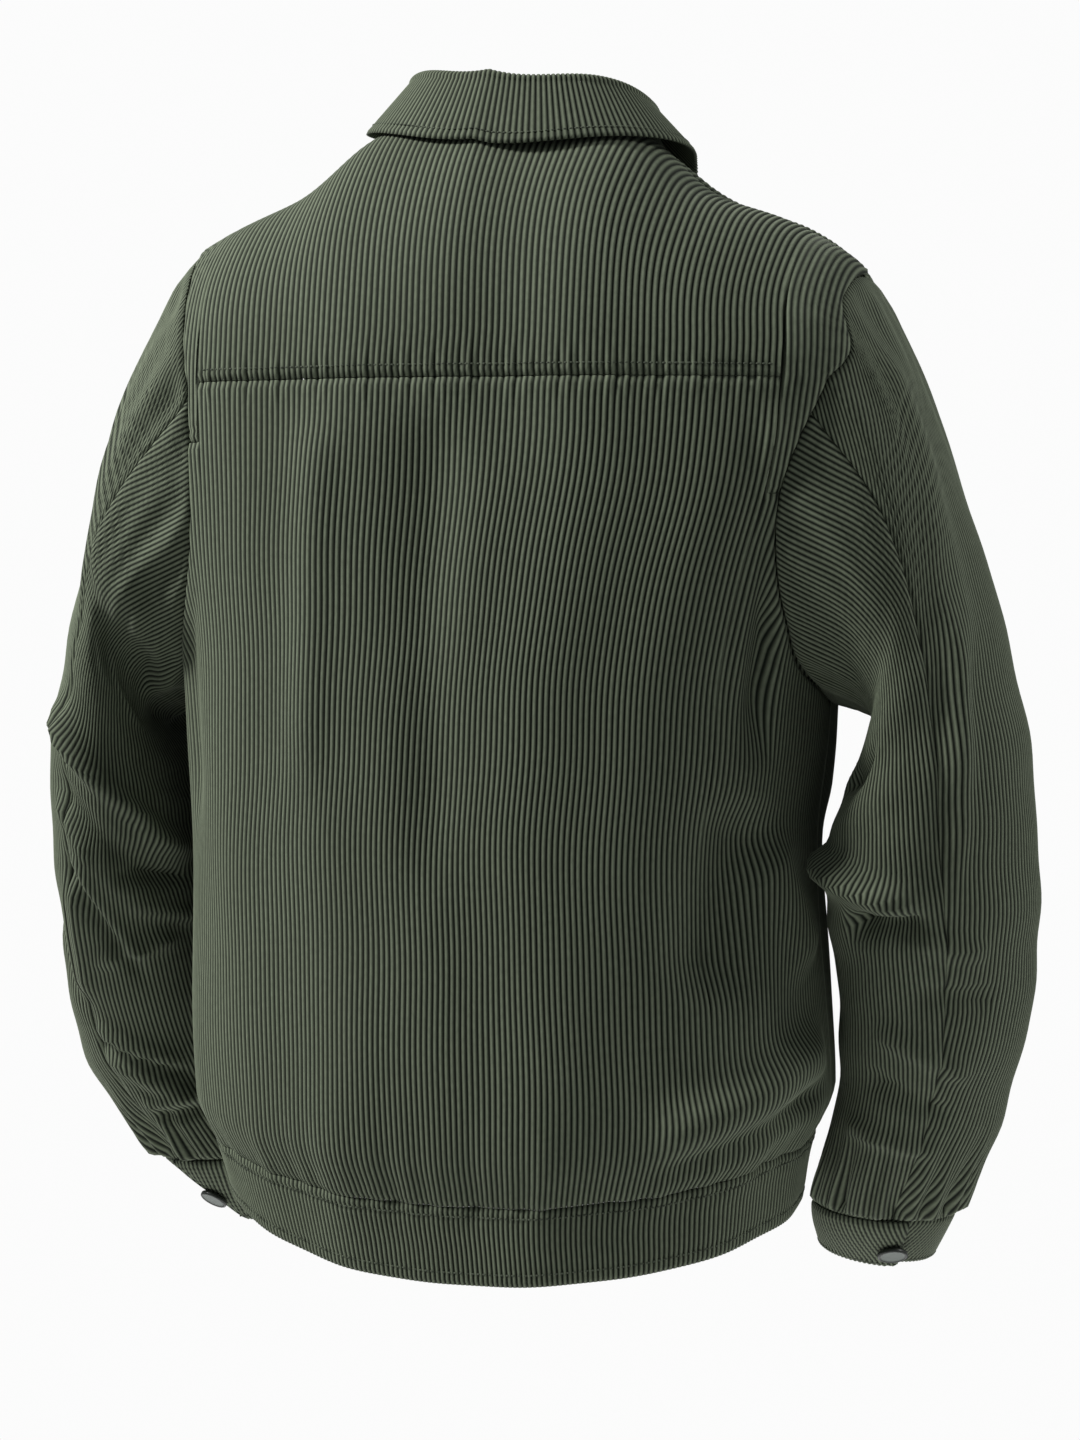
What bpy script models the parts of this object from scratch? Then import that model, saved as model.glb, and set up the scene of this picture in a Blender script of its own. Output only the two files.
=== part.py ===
"""Corduroy jacket on a hollow worn form: metres, +Z up.

The wearer faces -Y and the wearer's left is +X.  The origin is the middle of the neck opening,
level with the neck seam at the centre back.  Every cloth piece is a thin closed wall between an
outer and an inner skin, laid on one of three surfaces: the torso, a sleeve or the collar.
"""
import bpy
import bmesh
import numpy as np
from math import pi
from mathutils import Vector

# ------------------------------------------------------------------ driving sizes, metres
CLOTH = 0.0020            # wall of the corduroy
DOUBLE = 0.0026           # wall of the collar, band and cuffs, which are made double
SEAM = 0.00015            # each side of a seam stands back by this, 0.3 mm in all
LAP_GAP = 0.0012          # air between two laps that lie on each other
YOKE_Z = -0.141           # height of the yoke seam
BAND_Z = -0.587           # height of the waistband seam, before the hem is tilted
HEM_Z = -0.631            # lower edge of the waistband
FRONT_LAP = 0.034         # how far each front runs past the centre line, share of a half round
BUTTON_R = 0.0090
BUTTON_H = 0.0030
FRONT_BUTTONS = 5

# one row for each level of the torso
RING_COLUMNS = ("z", "half_width", "back_depth", "front_depth", "squareness", "shift_x")
RINGS = (
    (-0.631, 0.1700, 0.117, 0.119, 2.30, 0.002),
    (-0.587, 0.1800, 0.121, 0.123, 2.30, 0.005),
    (-0.560, 0.1900, 0.130, 0.138, 2.30, 0.0045),
    (-0.500, 0.1895, 0.134, 0.140, 2.35, 0.0060),
    (-0.400, 0.1870, 0.131, 0.136, 2.45, 0.0075),
    (-0.350, 0.1900, 0.129, 0.131, 2.50, 0.0060),
    (-0.300, 0.1940, 0.128, 0.127, 2.60, 0.004),
    (-0.200, 0.2220, 0.124, 0.124, 2.70, -0.006),
    (-0.141, 0.2320, 0.121, 0.121, 2.70, -0.009),
)
# height of the shoulder seam above each distance from the centre
SHOULDER_COLUMNS = ("x", "z")
SHOULDER = ((0.000, 0.024), (0.078, 0.005), (0.121, -0.027), (0.173, -0.050), (0.206, -0.071),
            (0.240, -0.113))
# how much the level lines rise towards the wearer's left, by height
LEAN_COLUMNS = ("z", "slope", "left_lift", "right_lift")
LEAN = (
    (-0.640, 0.000, 0.028, 0.018),
    (-0.500, -0.015, 0.004, 0.006),
    (-0.300, -0.010, 0.000, 0.000),
    (-0.150, 0.010, 0.000, 0.000),
    (-0.090, 0.036, 0.000, 0.000),
    (-0.040, 0.022, 0.000, 0.000),
    (0.040, 0.040, 0.000, 0.000),
)
LIFT_AT = 0.17            # distance from the centre at which a side's lift is measured
BACK_DIP = 0.10           # the back of the hem hangs lower than its sides
# armhole edge: metres below the yoke line (or share of the way over the shoulder), turn on each side
ARMHOLE_COLUMNS = ("rise", "left", "right")
ARMHOLE = (
    (1.00, 0.352, 0.350),
    (0.50, 0.327, 0.343),
    (0.00, 0.306, 0.335),
    (-0.035, 0.302, 0.316),
    (-0.065, 0.304, 0.307),
    (-0.100, 0.318, 0.321),
    (-0.135, 0.352, 0.357),
    (-0.165, 0.410, 0.412),
    (-0.182, 0.500, 0.500),
)
UNDERARM = -0.182
YOKE_END = {"left": 0.285, "right": 0.288}      # turn at which the yoke seam stops
TAB_DEGREES = {"left": 84.0, "right": 96.0}     # where the yoke's side tab ends, round the armhole
LOOP_STEP = 12.0                                # degrees between the armhole's stitched points
NECK_HALF = 0.078
NECK_BACK = 0.066
NECK_FRONT = 0.104
# sleeve: outer line, inner line, middle of the depth, half depth, at shares of its length
SLEEVE_COLUMNS = ("along", "outer_x", "outer_z", "inner_x", "inner_z", "middle_y", "half_depth",
                  "left_outer", "left_inner", "left_down")
SLEEVE = (
    (0.00, 0.203, -0.080, 0.200, -0.322, 0.000, 0.088, 0.000, 0.000, 0.000),
    (0.12, 0.238, -0.147, 0.224, -0.334, 0.000, 0.086, 0.004, 0.002, 0.000),
    (0.25, 0.270, -0.230, 0.212, -0.352, 0.001, 0.082, -0.011, 0.004, 0.000),
    (0.40, 0.296, -0.325, 0.193, -0.385, 0.002, 0.078, -0.011, 0.010, 0.000),
    (0.55, 0.304, -0.410, 0.186, -0.430, -0.004, 0.074, -0.013, 0.016, 0.000),
    (0.70, 0.298, -0.485, 0.187, -0.487, -0.034, 0.070, 0.003, 0.019, 0.000),
    (0.85, 0.277, -0.562, 0.180, -0.555, -0.064, 0.062, 0.024, 0.019, 0.004),
    (1.00, 0.246, -0.628, 0.160, -0.622, -0.090, 0.050, 0.023, 0.016, 0.010),
    (1.12, 0.226, -0.664, 0.157, -0.656, -0.124, 0.041, 0.002, 0.008, 0.002),
)
BACK_SEAM = 72.0          # sleeve seams, degrees round from the outer line towards the back
FRONT_SEAM = -132.0
CUFF_START = 58.0         # the cuff starts here, goes all round and tucks under its own start
CUFF_LAP = 26.0

# largest folds of the body: ends as (turn, rise), half widths each side, height (minus = trough)
FOLD_COLUMNS = ("turn_0", "rise_0", "turn_1", "rise_1", "width_a", "width_b", "height")
BODY_FOLDS = (
    (-0.290, -0.010, -0.322, -0.190, 0.020, 0.007, 0.007),    # right back fold edge
    (-0.322, -0.030, -0.350, -0.200, 0.008, 0.016, -0.016),   # the tuck beside it
    (0.345, -0.030, 0.350, -0.250, 0.016, 0.010, -0.006),
    (-0.338, -0.240, -0.285, -0.335, 0.020, 0.022, -0.011),   # hollow above the right hip
    (-0.370, -0.262, -0.450, -0.330, 0.018, 0.022, 0.008),
    (-0.235, -0.412, -0.455, -0.380, 0.014, 0.030, 0.013),    # cloth blousing over the band
    (-0.240, -0.430, -0.455, -0.408, 0.010, 0.009, -0.010),
    (0.148, -0.020, 0.150, -0.220, 0.013, 0.014, 0.0045),
    (0.030, -0.020, 0.000, -0.270, 0.016, 0.016, -0.0040),
    (0.560, -0.240, 0.700, -0.400, 0.018, 0.020, -0.008),
    (-0.560, -0.250, -0.680, -0.400, 0.020, 0.018, -0.008),
    (0.620, -0.050, 0.700, -0.180, 0.016, 0.020, 0.007),
    (-0.620, -0.050, -0.690, -0.200, 0.018, 0.016, 0.007),
)
# largest folds of the sleeves: ends as (degrees, along)
SLEEVE_FOLD_COLUMNS = ("side", "degrees_0", "along_0", "degrees_1", "along_1", "width_a",
                       "width_b", "height")
SLEEVE_FOLDS = (
    ("right", 165.0, 0.470, 86.0, 0.575, 0.022, 0.010, 0.012),    # cloth hanging over the elbow
    ("right", 128.0, 0.590, 84.0, 0.612, 0.012, 0.016, -0.012),   # the hollow under it
    ("right", 150.0, 0.330, 118.0, 0.360, 0.014, 0.016, -0.008),
    ("right", 25.0, 0.060, 50.0, 0.250, 0.012, 0.014, 0.005),
    ("right", 50.0, 0.250, 68.0, 0.450, 0.012, 0.014, 0.006),
    ("left", 80.0, 0.170, 125.0, 0.070, 0.012, 0.014, 0.007),
    ("left", 100.0, 0.200, 150.0, 0.060, 0.012, 0.016, -0.010),
    ("left", 60.0, 0.365, 160.0, 0.505, 0.016, 0.014, 0.010),
    ("left", 62.0, 0.450, 150.0, 0.565, 0.014, 0.014, -0.007),
    ("left", 74.0, 0.580, 72.0, 0.740, 0.014, 0.014, 0.006),
    ("left", 78.0, 0.820, 122.0, 0.900, 0.012, 0.012, 0.006),
    ("left", -40.0, 0.560, -110.0, 0.600, 0.014, 0.016, 0.009),
    ("right", -40.0, 0.600, -110.0, 0.640, 0.014, 0.016, 0.009),
)
# collar: neck-loop angle, height of the roll, its lean inwards, fall's spread and drop
COLLAR_COLUMNS = ("degrees", "roll_up", "roll_in", "edge_out", "edge_up")
COLLAR = (
    (0.0, 0.035, 0.010, 0.013, -0.008),
    (45.0, 0.034, 0.010, 0.018, -0.004),
    (72.0, 0.031, 0.009, 0.021, -0.002),
    (108.0, 0.027, 0.009, 0.017, -0.0005),
    (132.0, 0.025, 0.006, 0.023, -0.006),
    (160.0, 0.018, 0.003, 0.027, -0.034),
    (176.0, 0.012, 0.002, 0.021, -0.050),
)
COLLAR_END = 176.0
FOOT_IN = -0.0006          # the stand starts this far inside the neck edge
FOOT_DOWN = 0.0005        # and this far below it
ROLL_R = 0.0042           # radius of the collar's roll, to its outer skin

SHOULDER_ROUND = 0.92     # fullness of the shoulder's rounding, front to back
SHOULDER_GAP = 0.0012     # the shoulder seam's half gap, share of the way over
HOLE_GAP = 0.0006         # the armhole edge stands back by this, in turns
TAB_GAP = 0.0034          # between the yoke's tab and the back panel, in turns
TAB_COLUMNS = 3
SEAM_DEGREES = 0.15       # each sleeve seam edge stands back by this, degrees round
NECK_STEP = 0.035         # first stitched point above the front neck's lowest
BODY_ROWS = 12
SLEEVE_ROWS = 10
SLEEVE_DEGREE = 0.0012    # cloth in one degree round the sleeve, for laying out folds
SLEEVE_LENGTH = 0.62
CUFF_OUT = 0.0019         # the cuff winds from this far outside the sleeve to as far inside
CUFF_STEPS = 46
CUFF_BUTTON = (67.0, 1.066)     # degrees round and share along
BUTTON_LIFT = {"cuff": 0.0009, "front": 0.0001}
BAND_OUT = 0.0003         # the waistband stands proud of the body by this
FRONT_RISE = (-0.005, -0.405)   # first and last front button, metres below the yoke line
STAND_SHARE = 0.40        # the collar's section: up the stand, round the roll, down the fall
ROLL_SHARE = 0.52

COLOURS = {
    "corduroy": (0.062, 0.078, 0.045, 1.0),
    "button": (0.115, 0.135, 0.118, 1.0),
}


# ------------------------------------------------------------------ small tools
def through(x, xs, ys):
    """Smooth curve through table rows: cubic Hermite, with level tangents at its turning points."""
    x = np.asarray(x, float)
    xs = np.asarray(xs, float)
    ys = np.asarray(ys, float)
    slope = np.diff(ys) / np.diff(xs)
    tangent = np.concatenate([slope[:1], (slope[1:] + slope[:-1]) / 2, slope[-1:]])
    tangent[1:-1][slope[1:] * slope[:-1] <= 0] = 0
    x = np.clip(x, xs[0], xs[-1])
    i = np.clip(np.searchsorted(xs, x) - 1, 0, len(xs) - 2)
    h = xs[i + 1] - xs[i]
    t = (x - xs[i]) / h
    return ((2 * t**3 - 3 * t**2 + 1) * ys[i] + (t**3 - 2 * t**2 + t) * h * tangent[i]
            + (3 * t**2 - 2 * t**3) * ys[i + 1] + (t**3 - t**2) * h * tangent[i + 1])


def ease(a, b, x):
    t = np.clip((np.asarray(x, float) - a) / (b - a), 0, 1)
    return t * t * (3 - 2 * t)


def unit(v):
    return v / np.maximum(np.linalg.norm(v, axis=-1, keepdims=True), 1e-12)


def column(table, names, name):
    return np.array([row[names.index(name)] for row in table], float)


def ridge(u, w, u0, w0, u1, w1, width_a, width_b, height):
    """Soft ridge or trough along a line in cloth metres, fading out at both ends."""
    du, dw = u1 - u0, w1 - w0
    length = np.hypot(du, dw)
    s = ((u - u0) * du + (w - w0) * dw) / length**2
    d = ((u - u0) * dw - (w - w0) * du) / length
    width = np.where(d > 0, width_a, width_b)
    fade = ease(-0.12, 0.18, s) * ease(1.12, 0.82, s)
    return height * fade * np.exp(-(d / width)**2)


# ------------------------------------------------------------------ the torso's surface
LEVELS = np.linspace(HEM_Z - 0.004, YOKE_Z, 60)
TURNS = 361


def ring_lattice():
    """x and y of every level, at even steps of cloth length from centre back to centre front."""
    z = column(RINGS, RING_COLUMNS, "z")
    names = RING_COLUMNS[1:]
    width, back, front, square, shift = [through(LEVELS, z, column(RINGS, RING_COLUMNS, n))
                                         for n in names]
    angle = np.linspace(0, pi, 721)
    c, s = np.cos(angle), np.sin(angle)
    xs, ys, half = [], [], []
    for k in range(len(LEVELS)):
        power = 2.0 / square[k]
        x = width[k] * s**power
        y = np.where(c >= 0, back[k], front[k]) * np.sign(c) * np.abs(c)**power
        length = np.concatenate([[0], np.cumsum(np.hypot(np.diff(x), np.diff(y)))])
        even = np.linspace(0, length[-1], TURNS)
        xs.append(np.interp(even, length, x))
        ys.append(np.interp(even, length, y))
        half.append(length[-1])
    return np.array(xs), np.array(ys), shift, np.array(half)


RING_X, RING_Y, RING_SHIFT, RING_HALF = ring_lattice()
HALF_ROUND = float(RING_HALF.mean())     # cloth length of one turn unit, for laying out folds


def ring(turn, z):
    """Point of the torso ring at a height: turn 0 is centre back, 1 or -1 centre front."""
    turn = (turn + 1) % 2 - 1
    side = np.where(turn < 0, -1.0, 1.0)
    level = np.clip((z - LEVELS[0]) / (LEVELS[1] - LEVELS[0]), 0, len(LEVELS) - 1.001)
    i = level.astype(int)
    f = level - i
    step = np.abs(turn) * (TURNS - 1)
    j = np.minimum(step.astype(int), TURNS - 2)
    g = step - j
    out = []
    for lattice in (RING_X, RING_Y):
        low = lattice[i, j] * (1 - g) + lattice[i, j + 1] * g
        high = lattice[i + 1, j] * (1 - g) + lattice[i + 1, j + 1] * g
        out.append(low * (1 - f) + high * f)
    shift = RING_SHIFT[i] * (1 - f) + RING_SHIFT[i + 1] * f
    return side * out[0] + shift, out[1]


def shoulder_height(x):
    return through(np.abs(x), column(SHOULDER, SHOULDER_COLUMNS, "x"),
                   column(SHOULDER, SHOULDER_COLUMNS, "z"))


def lean(p):
    """Drop the shoulders and lift the hem on the wearer's right, and let the back hem dip."""
    p = p.copy()
    z = p[..., 2].copy()
    heights = column(LEAN, LEAN_COLUMNS, "z")
    slope = through(z, heights, column(LEAN, LEAN_COLUMNS, "slope"))
    left = through(z, heights, column(LEAN, LEAN_COLUMNS, "left_lift"))
    right = through(z, heights, column(LEAN, LEAN_COLUMNS, "right_lift"))
    lift = np.where(p[..., 0] > 0, left, right) * (p[..., 0] / LIFT_AT)**2
    dip = BACK_DIP * ease(-0.38, -0.61, z) * p[..., 1]
    p[..., 2] = z + slope * p[..., 0] + lift - dip
    return p


def torso_base(turn, rise):
    """rise below 0 is metres below the yoke line; 0 to 1 goes over the top to the shoulder seam."""
    turn, rise = np.broadcast_arrays(np.asarray(turn, float), np.asarray(rise, float))
    x, y = ring(turn, YOKE_Z + np.minimum(rise, 0))
    over = np.clip(rise, 0, 1) * pi / 2
    z = np.where(rise > 0, YOKE_Z + (shoulder_height(x) - YOKE_Z) * np.sin(over)**SHOULDER_ROUND,
                 YOKE_Z + rise)
    y = np.where(rise > 0, y * np.cos(over)**SHOULDER_ROUND, y)
    return lean(np.stack([x, y, z], -1))


def torso_normal(turn, rise):
    rise = np.asarray(rise, float)
    rise = np.where(rise > 0, np.clip(rise, 0.02, 0.985), rise)
    turn = np.asarray(turn, float)
    e = 0.004
    across = torso_base(turn + e, rise) - torso_base(turn - e, rise)
    step = np.where(rise > 0, 0.012, 0.003)
    up = torso_base(turn, rise + step) - torso_base(turn, rise - step)
    return unit(np.cross(up, across))


def body_folds(turn, rise):
    """Folds of the body, fading out at the yoke line, the band and the armholes."""
    turn, rise = np.broadcast_arrays(np.asarray(turn, float), np.asarray(rise, float))
    total = np.zeros(turn.shape)
    for t0, r0, t1, r1, wa, wb, height in BODY_FOLDS:
        total = total + ridge(turn * HALF_ROUND, rise, t0 * HALF_ROUND, r0, t1 * HALF_ROUND, r1,
                              wa, wb, height)
    band = BAND_Z - YOKE_Z
    return total * ease(-0.008, -0.040, rise) * ease(band, band + 0.012, rise) * off_hole(turn, rise)


def armhole_turn(side, rise):
    rises = column(ARMHOLE, ARMHOLE_COLUMNS, "rise")[::-1]
    return through(rise, rises, column(ARMHOLE, ARMHOLE_COLUMNS, side)[::-1])


def off_hole(turn, rise):
    """0 on the armhole line, 1 a short way off it, so that folds fade out at that seam."""
    size = np.abs(turn)
    size = np.minimum(size, 2 - size)
    from_back = np.minimum(size, 1 - size)
    low = np.minimum(rise, 0)
    hole = np.where(turn > 0, armhole_turn("left", low), armhole_turn("right", low))
    beside = np.abs(hole - from_back) * HALF_ROUND
    below = np.maximum(UNDERARM - rise, 0)
    return ease(0.0, 0.016, np.hypot(beside, below))


def torso(turn, rise, out=0.0):
    normal = torso_normal(turn, rise)
    height = np.asarray(body_folds(turn, rise) + out)
    return torso_base(turn, rise) + normal * height[..., None]


# ------------------------------------------------------------------ armhole loops
SIDE = {"left": 1.0, "right": -1.0}


def armhole_loop(side):
    """Degrees, turn and rise round the armhole: 0 at the shoulder, 90 back, 180 underarm."""
    rise = np.concatenate([np.linspace(1, 0, 80), np.linspace(0, UNDERARM, 300)[1:]])
    turn = armhole_turn(side, rise)
    turn = np.concatenate([turn, 1 - turn[::-1][1:]])
    rise = np.concatenate([rise, rise[::-1][1:]])
    p = torso_base(turn * SIDE[side], rise)
    length = np.concatenate([[0], np.cumsum(np.linalg.norm(np.diff(p, axis=0), axis=1))])
    half = length[len(length) // 2]
    degrees = np.where(length <= half, 180 * length / half,
                       180 + 180 * (length - half) / (length[-1] - half))
    even = np.arange(0, 361.0, 1.0)
    return even, np.interp(even, degrees, turn), np.interp(even, degrees, rise)


LOOP = {side: armhole_loop(side) for side in SIDE}


def loop_at(side, degrees):
    """Turn and rise of the armhole at an angle round it."""
    turned = np.asarray(degrees, float) % 360
    even, turn, rise = LOOP[side]
    return np.interp(turned, even, turn), np.interp(turned, even, rise)


# ------------------------------------------------------------------ the sleeves' surface
def sleeve_tube(side, degrees, along):
    """Plain tube of the sleeve, before its head is drawn to the armhole."""
    t = np.clip(along, 0, 1.12)
    names = SLEEVE_COLUMNS[1:]
    shares = column(SLEEVE, SLEEVE_COLUMNS, "along")
    ox, oz, ix, iz, my, depth, more_out, more_in, lower = [
        through(t, shares, column(SLEEVE, SLEEVE_COLUMNS, n)) for n in names]
    if side == "left":
        ox, ix = ox + more_out, ix + more_in
        oz, iz = oz + lower, iz + lower
    a = np.radians(degrees)
    c, s = np.cos(a), np.sin(a)
    x = (ox + ix) / 2 + c * (ox - ix) / 2
    z = (oz + iz) / 2 + c * (oz - iz) / 2
    return np.stack([SIDE[side] * x, my + s * depth, z], -1)


def sleeve_base(side, degrees, along):
    degrees, along = np.broadcast_arrays(np.asarray(degrees, float), np.asarray(along, float))
    tube = sleeve_tube(side, degrees, along)
    turn, rise = loop_at(side, degrees)
    hole = torso_base(SIDE[side] * turn, rise)
    pull = 1 - ease(0.0, 0.24, along)
    return tube + (hole - sleeve_tube(side, degrees, np.zeros_like(along))) * pull[..., None]


def sleeve_normal(side, degrees, along):
    degrees, along = np.broadcast_arrays(np.asarray(degrees, float), np.asarray(along, float))
    e = 2.0
    a = np.clip(along, 0.015, 1.115)
    across = sleeve_base(side, degrees + e, a) - sleeve_base(side, degrees - e, a)
    down = sleeve_base(side, degrees, a + 0.012) - sleeve_base(side, degrees, a - 0.012)
    return unit(np.cross(down, across)) * SIDE[side]


def sleeve_folds(side, degrees, along):
    total = np.zeros(np.broadcast(degrees, along).shape)
    for name, d0, a0, d1, a1, wa, wb, height in SLEEVE_FOLDS:
        if name == side:
            turned = (np.asarray(degrees) + 180) % 360 - 180
            total = total + ridge(turned * SLEEVE_DEGREE, along * SLEEVE_LENGTH,
                                  d0 * SLEEVE_DEGREE, a0 * SLEEVE_LENGTH, d1 * SLEEVE_DEGREE,
                                  a1 * SLEEVE_LENGTH, wa, wb, height)
    return total * ease(0.02, 0.10, along) * ease(0.995, 0.93, along)


def hole_direction(side, degrees):
    """Shared direction of the wall at the armhole, half way between body and sleeve."""
    turn, rise = loop_at(side, degrees)
    return unit(torso_normal(SIDE[side] * turn, rise)
                + sleeve_normal(side, degrees, np.full_like(turn, 0.02)))


def sleeve(side, degrees, along, out=0.0):
    degrees, along = np.broadcast_arrays(np.asarray(degrees, float), np.asarray(along, float))
    normal = sleeve_normal(side, degrees, along)
    near = (1 - ease(0.0, 0.05, along))[..., None]
    normal = unit(normal * (1 - near) + hole_direction(side, degrees) * near)
    height = np.asarray(sleeve_folds(side, degrees, along) + out)
    return sleeve_base(side, degrees, along) + normal * height[..., None]


# ------------------------------------------------------------------ the collar's surface
def neck_rise(x, back):
    """How far over the shoulder the neck edge lies, at a distance from the centre."""
    x = np.clip(np.abs(x), 0, NECK_HALF)
    reach = NECK_BACK if back else NECK_FRONT
    y = reach * np.sqrt(np.maximum(1 - (x / NECK_HALF)**2, 0))
    over = np.arccos(np.clip((y / ring_depth(x, back))**(1 / SHOULDER_ROUND), 0, 1))
    return over / (pi / 2)


def ring_depth(x, back):
    """Depth of the torso at the yoke line, at a distance from the centre."""
    half = TURNS // 2
    if back:
        return np.interp(x, RING_X[-1][:half + 1], RING_Y[-1][:half + 1])
    return np.interp(x, RING_X[-1][half:][::-1], -RING_Y[-1][half:][::-1])


def turn_at(x, back):
    """Turn of the column that stands at a distance from the centre at the yoke line."""
    half = TURNS // 2
    share = np.linspace(0, 1, TURNS)
    if back:
        return np.interp(np.abs(x), RING_X[-1][:half + 1], share[:half + 1])
    return np.interp(np.abs(x), RING_X[-1][half:][::-1], share[half:][::-1])


def neck_point(degrees):
    """Neck edge: 0 is centre back, +-180 centre front, + towards the wearer's left."""
    a = np.radians(degrees)
    x = NECK_HALF * np.sin(a)
    back = np.cos(a) >= 0
    rise = np.where(back, neck_rise(x, True), neck_rise(x, False))
    turn = np.where(back, turn_at(x, True), turn_at(x, False)) * np.where(a < 0, -1, 1)
    return torso_base(turn, rise)


def collar(degrees, share, out=0.0):
    """share 0 is the sewn edge, 0.4 the roll, 1 the free edge; out grows towards the fall's face."""
    degrees, share = np.broadcast_arrays(np.asarray(degrees, float), np.asarray(share, float))
    size = np.abs(degrees)
    up, inward, edge_out, edge_up = [through(size, column(COLLAR, COLLAR_COLUMNS, "degrees"),
                                             column(COLLAR, COLLAR_COLUMNS, n))
                                     for n in COLLAR_COLUMNS[1:]]
    foot = neck_point(degrees)
    a = np.radians(degrees)
    radial = np.stack([np.sin(a), np.cos(a), np.zeros_like(a)], -1)
    # the section, outer skin: inner face of the stand up, round the roll, down the fall
    roll = ROLL_R + out
    centre_r = -inward
    centre_u = up - ROLL_R
    stand_t = np.clip(share / STAND_SHARE, 0, 1)
    fall_t = np.clip((share - ROLL_SHARE) / (1 - ROLL_SHARE), 0, 1)
    turn = np.clip((share - STAND_SHARE) / (ROLL_SHARE - STAND_SHARE), 0, 1) * pi
    foot_r = FOOT_IN - DOUBLE
    r = np.where(share <= STAND_SHARE, foot_r + (centre_r - ROLL_R - foot_r) * stand_t - out,
                 np.where(share < ROLL_SHARE, centre_r - roll * np.cos(turn),
                          centre_r + ROLL_R + (edge_out - centre_r - ROLL_R) * fall_t + out))
    u = np.where(share <= STAND_SHARE, -FOOT_DOWN + (centre_u + FOOT_DOWN) * stand_t,
                 np.where(share < ROLL_SHARE, centre_u + roll * np.sin(turn),
                          centre_u + (edge_up - centre_u) * fall_t))
    p = foot + radial * r[..., None]
    p[..., 2] += u
    return p


# ------------------------------------------------------------------ making the solids
def clear_scene():
    for thing in list(bpy.data.objects):
        bpy.data.objects.remove(thing, do_unlink=True)


def finish(name, colour, rough):
    material = bpy.data.materials.new(name)
    material.use_nodes = True
    shader = material.node_tree.nodes["Principled BSDF"]
    shader.inputs["Base Color"].default_value = COLOURS[colour]
    shader.inputs["Roughness"].default_value = rough
    shader.inputs["Metallic"].default_value = 0.0
    return material


def wall(name, outer, inner, collection):
    """Closed wall between two grids of points of the same size."""
    rows, cols = outer.shape[:2]
    mesh = bpy.data.meshes.new(name)
    shape = bmesh.new()
    skins = []
    for grid in (outer, inner):
        skins.append([[shape.verts.new(grid[i, j]) for j in range(cols)] for i in range(rows)])
    top, low = skins
    for i in range(rows - 1):
        for j in range(cols - 1):
            shape.faces.new((top[i][j], top[i][j + 1], top[i + 1][j + 1], top[i + 1][j]))
            shape.faces.new((low[i][j], low[i + 1][j], low[i + 1][j + 1], low[i][j + 1]))
    for j in range(cols - 1):
        shape.faces.new((top[0][j], low[0][j], low[0][j + 1], top[0][j + 1]))
        shape.faces.new((top[-1][j], top[-1][j + 1], low[-1][j + 1], low[-1][j]))
    for i in range(rows - 1):
        shape.faces.new((top[i][0], top[i + 1][0], low[i + 1][0], low[i][0]))
        shape.faces.new((top[i][-1], low[i][-1], low[i + 1][-1], top[i + 1][-1]))
    bmesh.ops.triangulate(shape, faces=shape.faces[:])
    bmesh.ops.recalc_face_normals(shape, faces=shape.faces[:])
    shape.to_mesh(mesh)
    shape.free()
    body = bpy.data.objects.new(name, mesh)
    body.data.materials.append(finish(name, "corduroy", 0.9))
    collection.objects.link(body)
    return body


def grid(rows):
    """Rows of numbers as one array."""
    return np.array([np.asarray(row, float) for row in rows])


def torso_piece(name, turn, rise, collection, thick=CLOTH, out=0.0, holes=(),
                blend=(), neck=()):
    """Piece of the body from grids of turn and rise; holes are its stitched armhole points."""
    normal = torso_normal(turn, rise)
    for side, degrees, rows, cols in holes:
        normal[rows, cols] = hole_direction(side, degrees)
    for rows, cols in neck:
        normal[rows, cols] = (0.0, 0.0, 1.0)
    for edge, step in blend:
        # the columns of a tab turn evenly towards the direction at its armhole edge
        for k in range(1, TAB_COLUMNS):
            share = k / TAB_COLUMNS
            normal[:, edge + k * step] = unit(normal[:, edge] * (1 - share)
                                              + normal[:, edge + TAB_COLUMNS * step] * share)
    outer = torso(turn, rise, out)
    return wall(name, outer, outer - normal * thick, collection)


NECK_TURN = float(turn_at(NECK_HALF, True))


def back_columns(side):
    """Turns from centre back to the end of the yoke seam, then the tab's share of the way out."""
    return np.concatenate([np.linspace(0, NECK_TURN, 5),
                           np.linspace(NECK_TURN, YOKE_END[side], 5)[1:]])


def yoke_half(side):
    """Turn and rise grids of half the yoke, centre back outwards."""
    steps = int(TAB_DEGREES[side] / LOOP_STEP) + 1
    degrees = np.linspace(TAB_DEGREES[side], 0, steps)
    edge_turn, edge_rise = loop_at(side, degrees)
    edge_rise = edge_rise.copy()
    edge_rise[-1] = 1 - SHOULDER_GAP
    turn, rise = [], []
    for column_turn in back_columns(side):
        x = float(ring(np.array([column_turn]), np.array([YOKE_Z]))[0][0])
        over_neck = column_turn < NECK_TURN + 1e-6
        top = float(neck_rise(min(abs(x - RING_SHIFT[-1]), NECK_HALF), True)) - 0.0015
        top = min(top, 1 - SHOULDER_GAP) if over_neck else 1 - SHOULDER_GAP
        turn.append(np.full(steps, column_turn))
        rise.append(np.linspace(0.0009, top, steps))
    # the tab's own columns run down beside the back panel
    for k in range(TAB_COLUMNS + 1):
        share = k / TAB_COLUMNS
        start = YOKE_END[side] + TAB_GAP
        turn.append(start + (edge_turn - HOLE_GAP - start) * share)
        rise.append(edge_rise)
    return np.array(turn).T, np.array(rise).T


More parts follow.
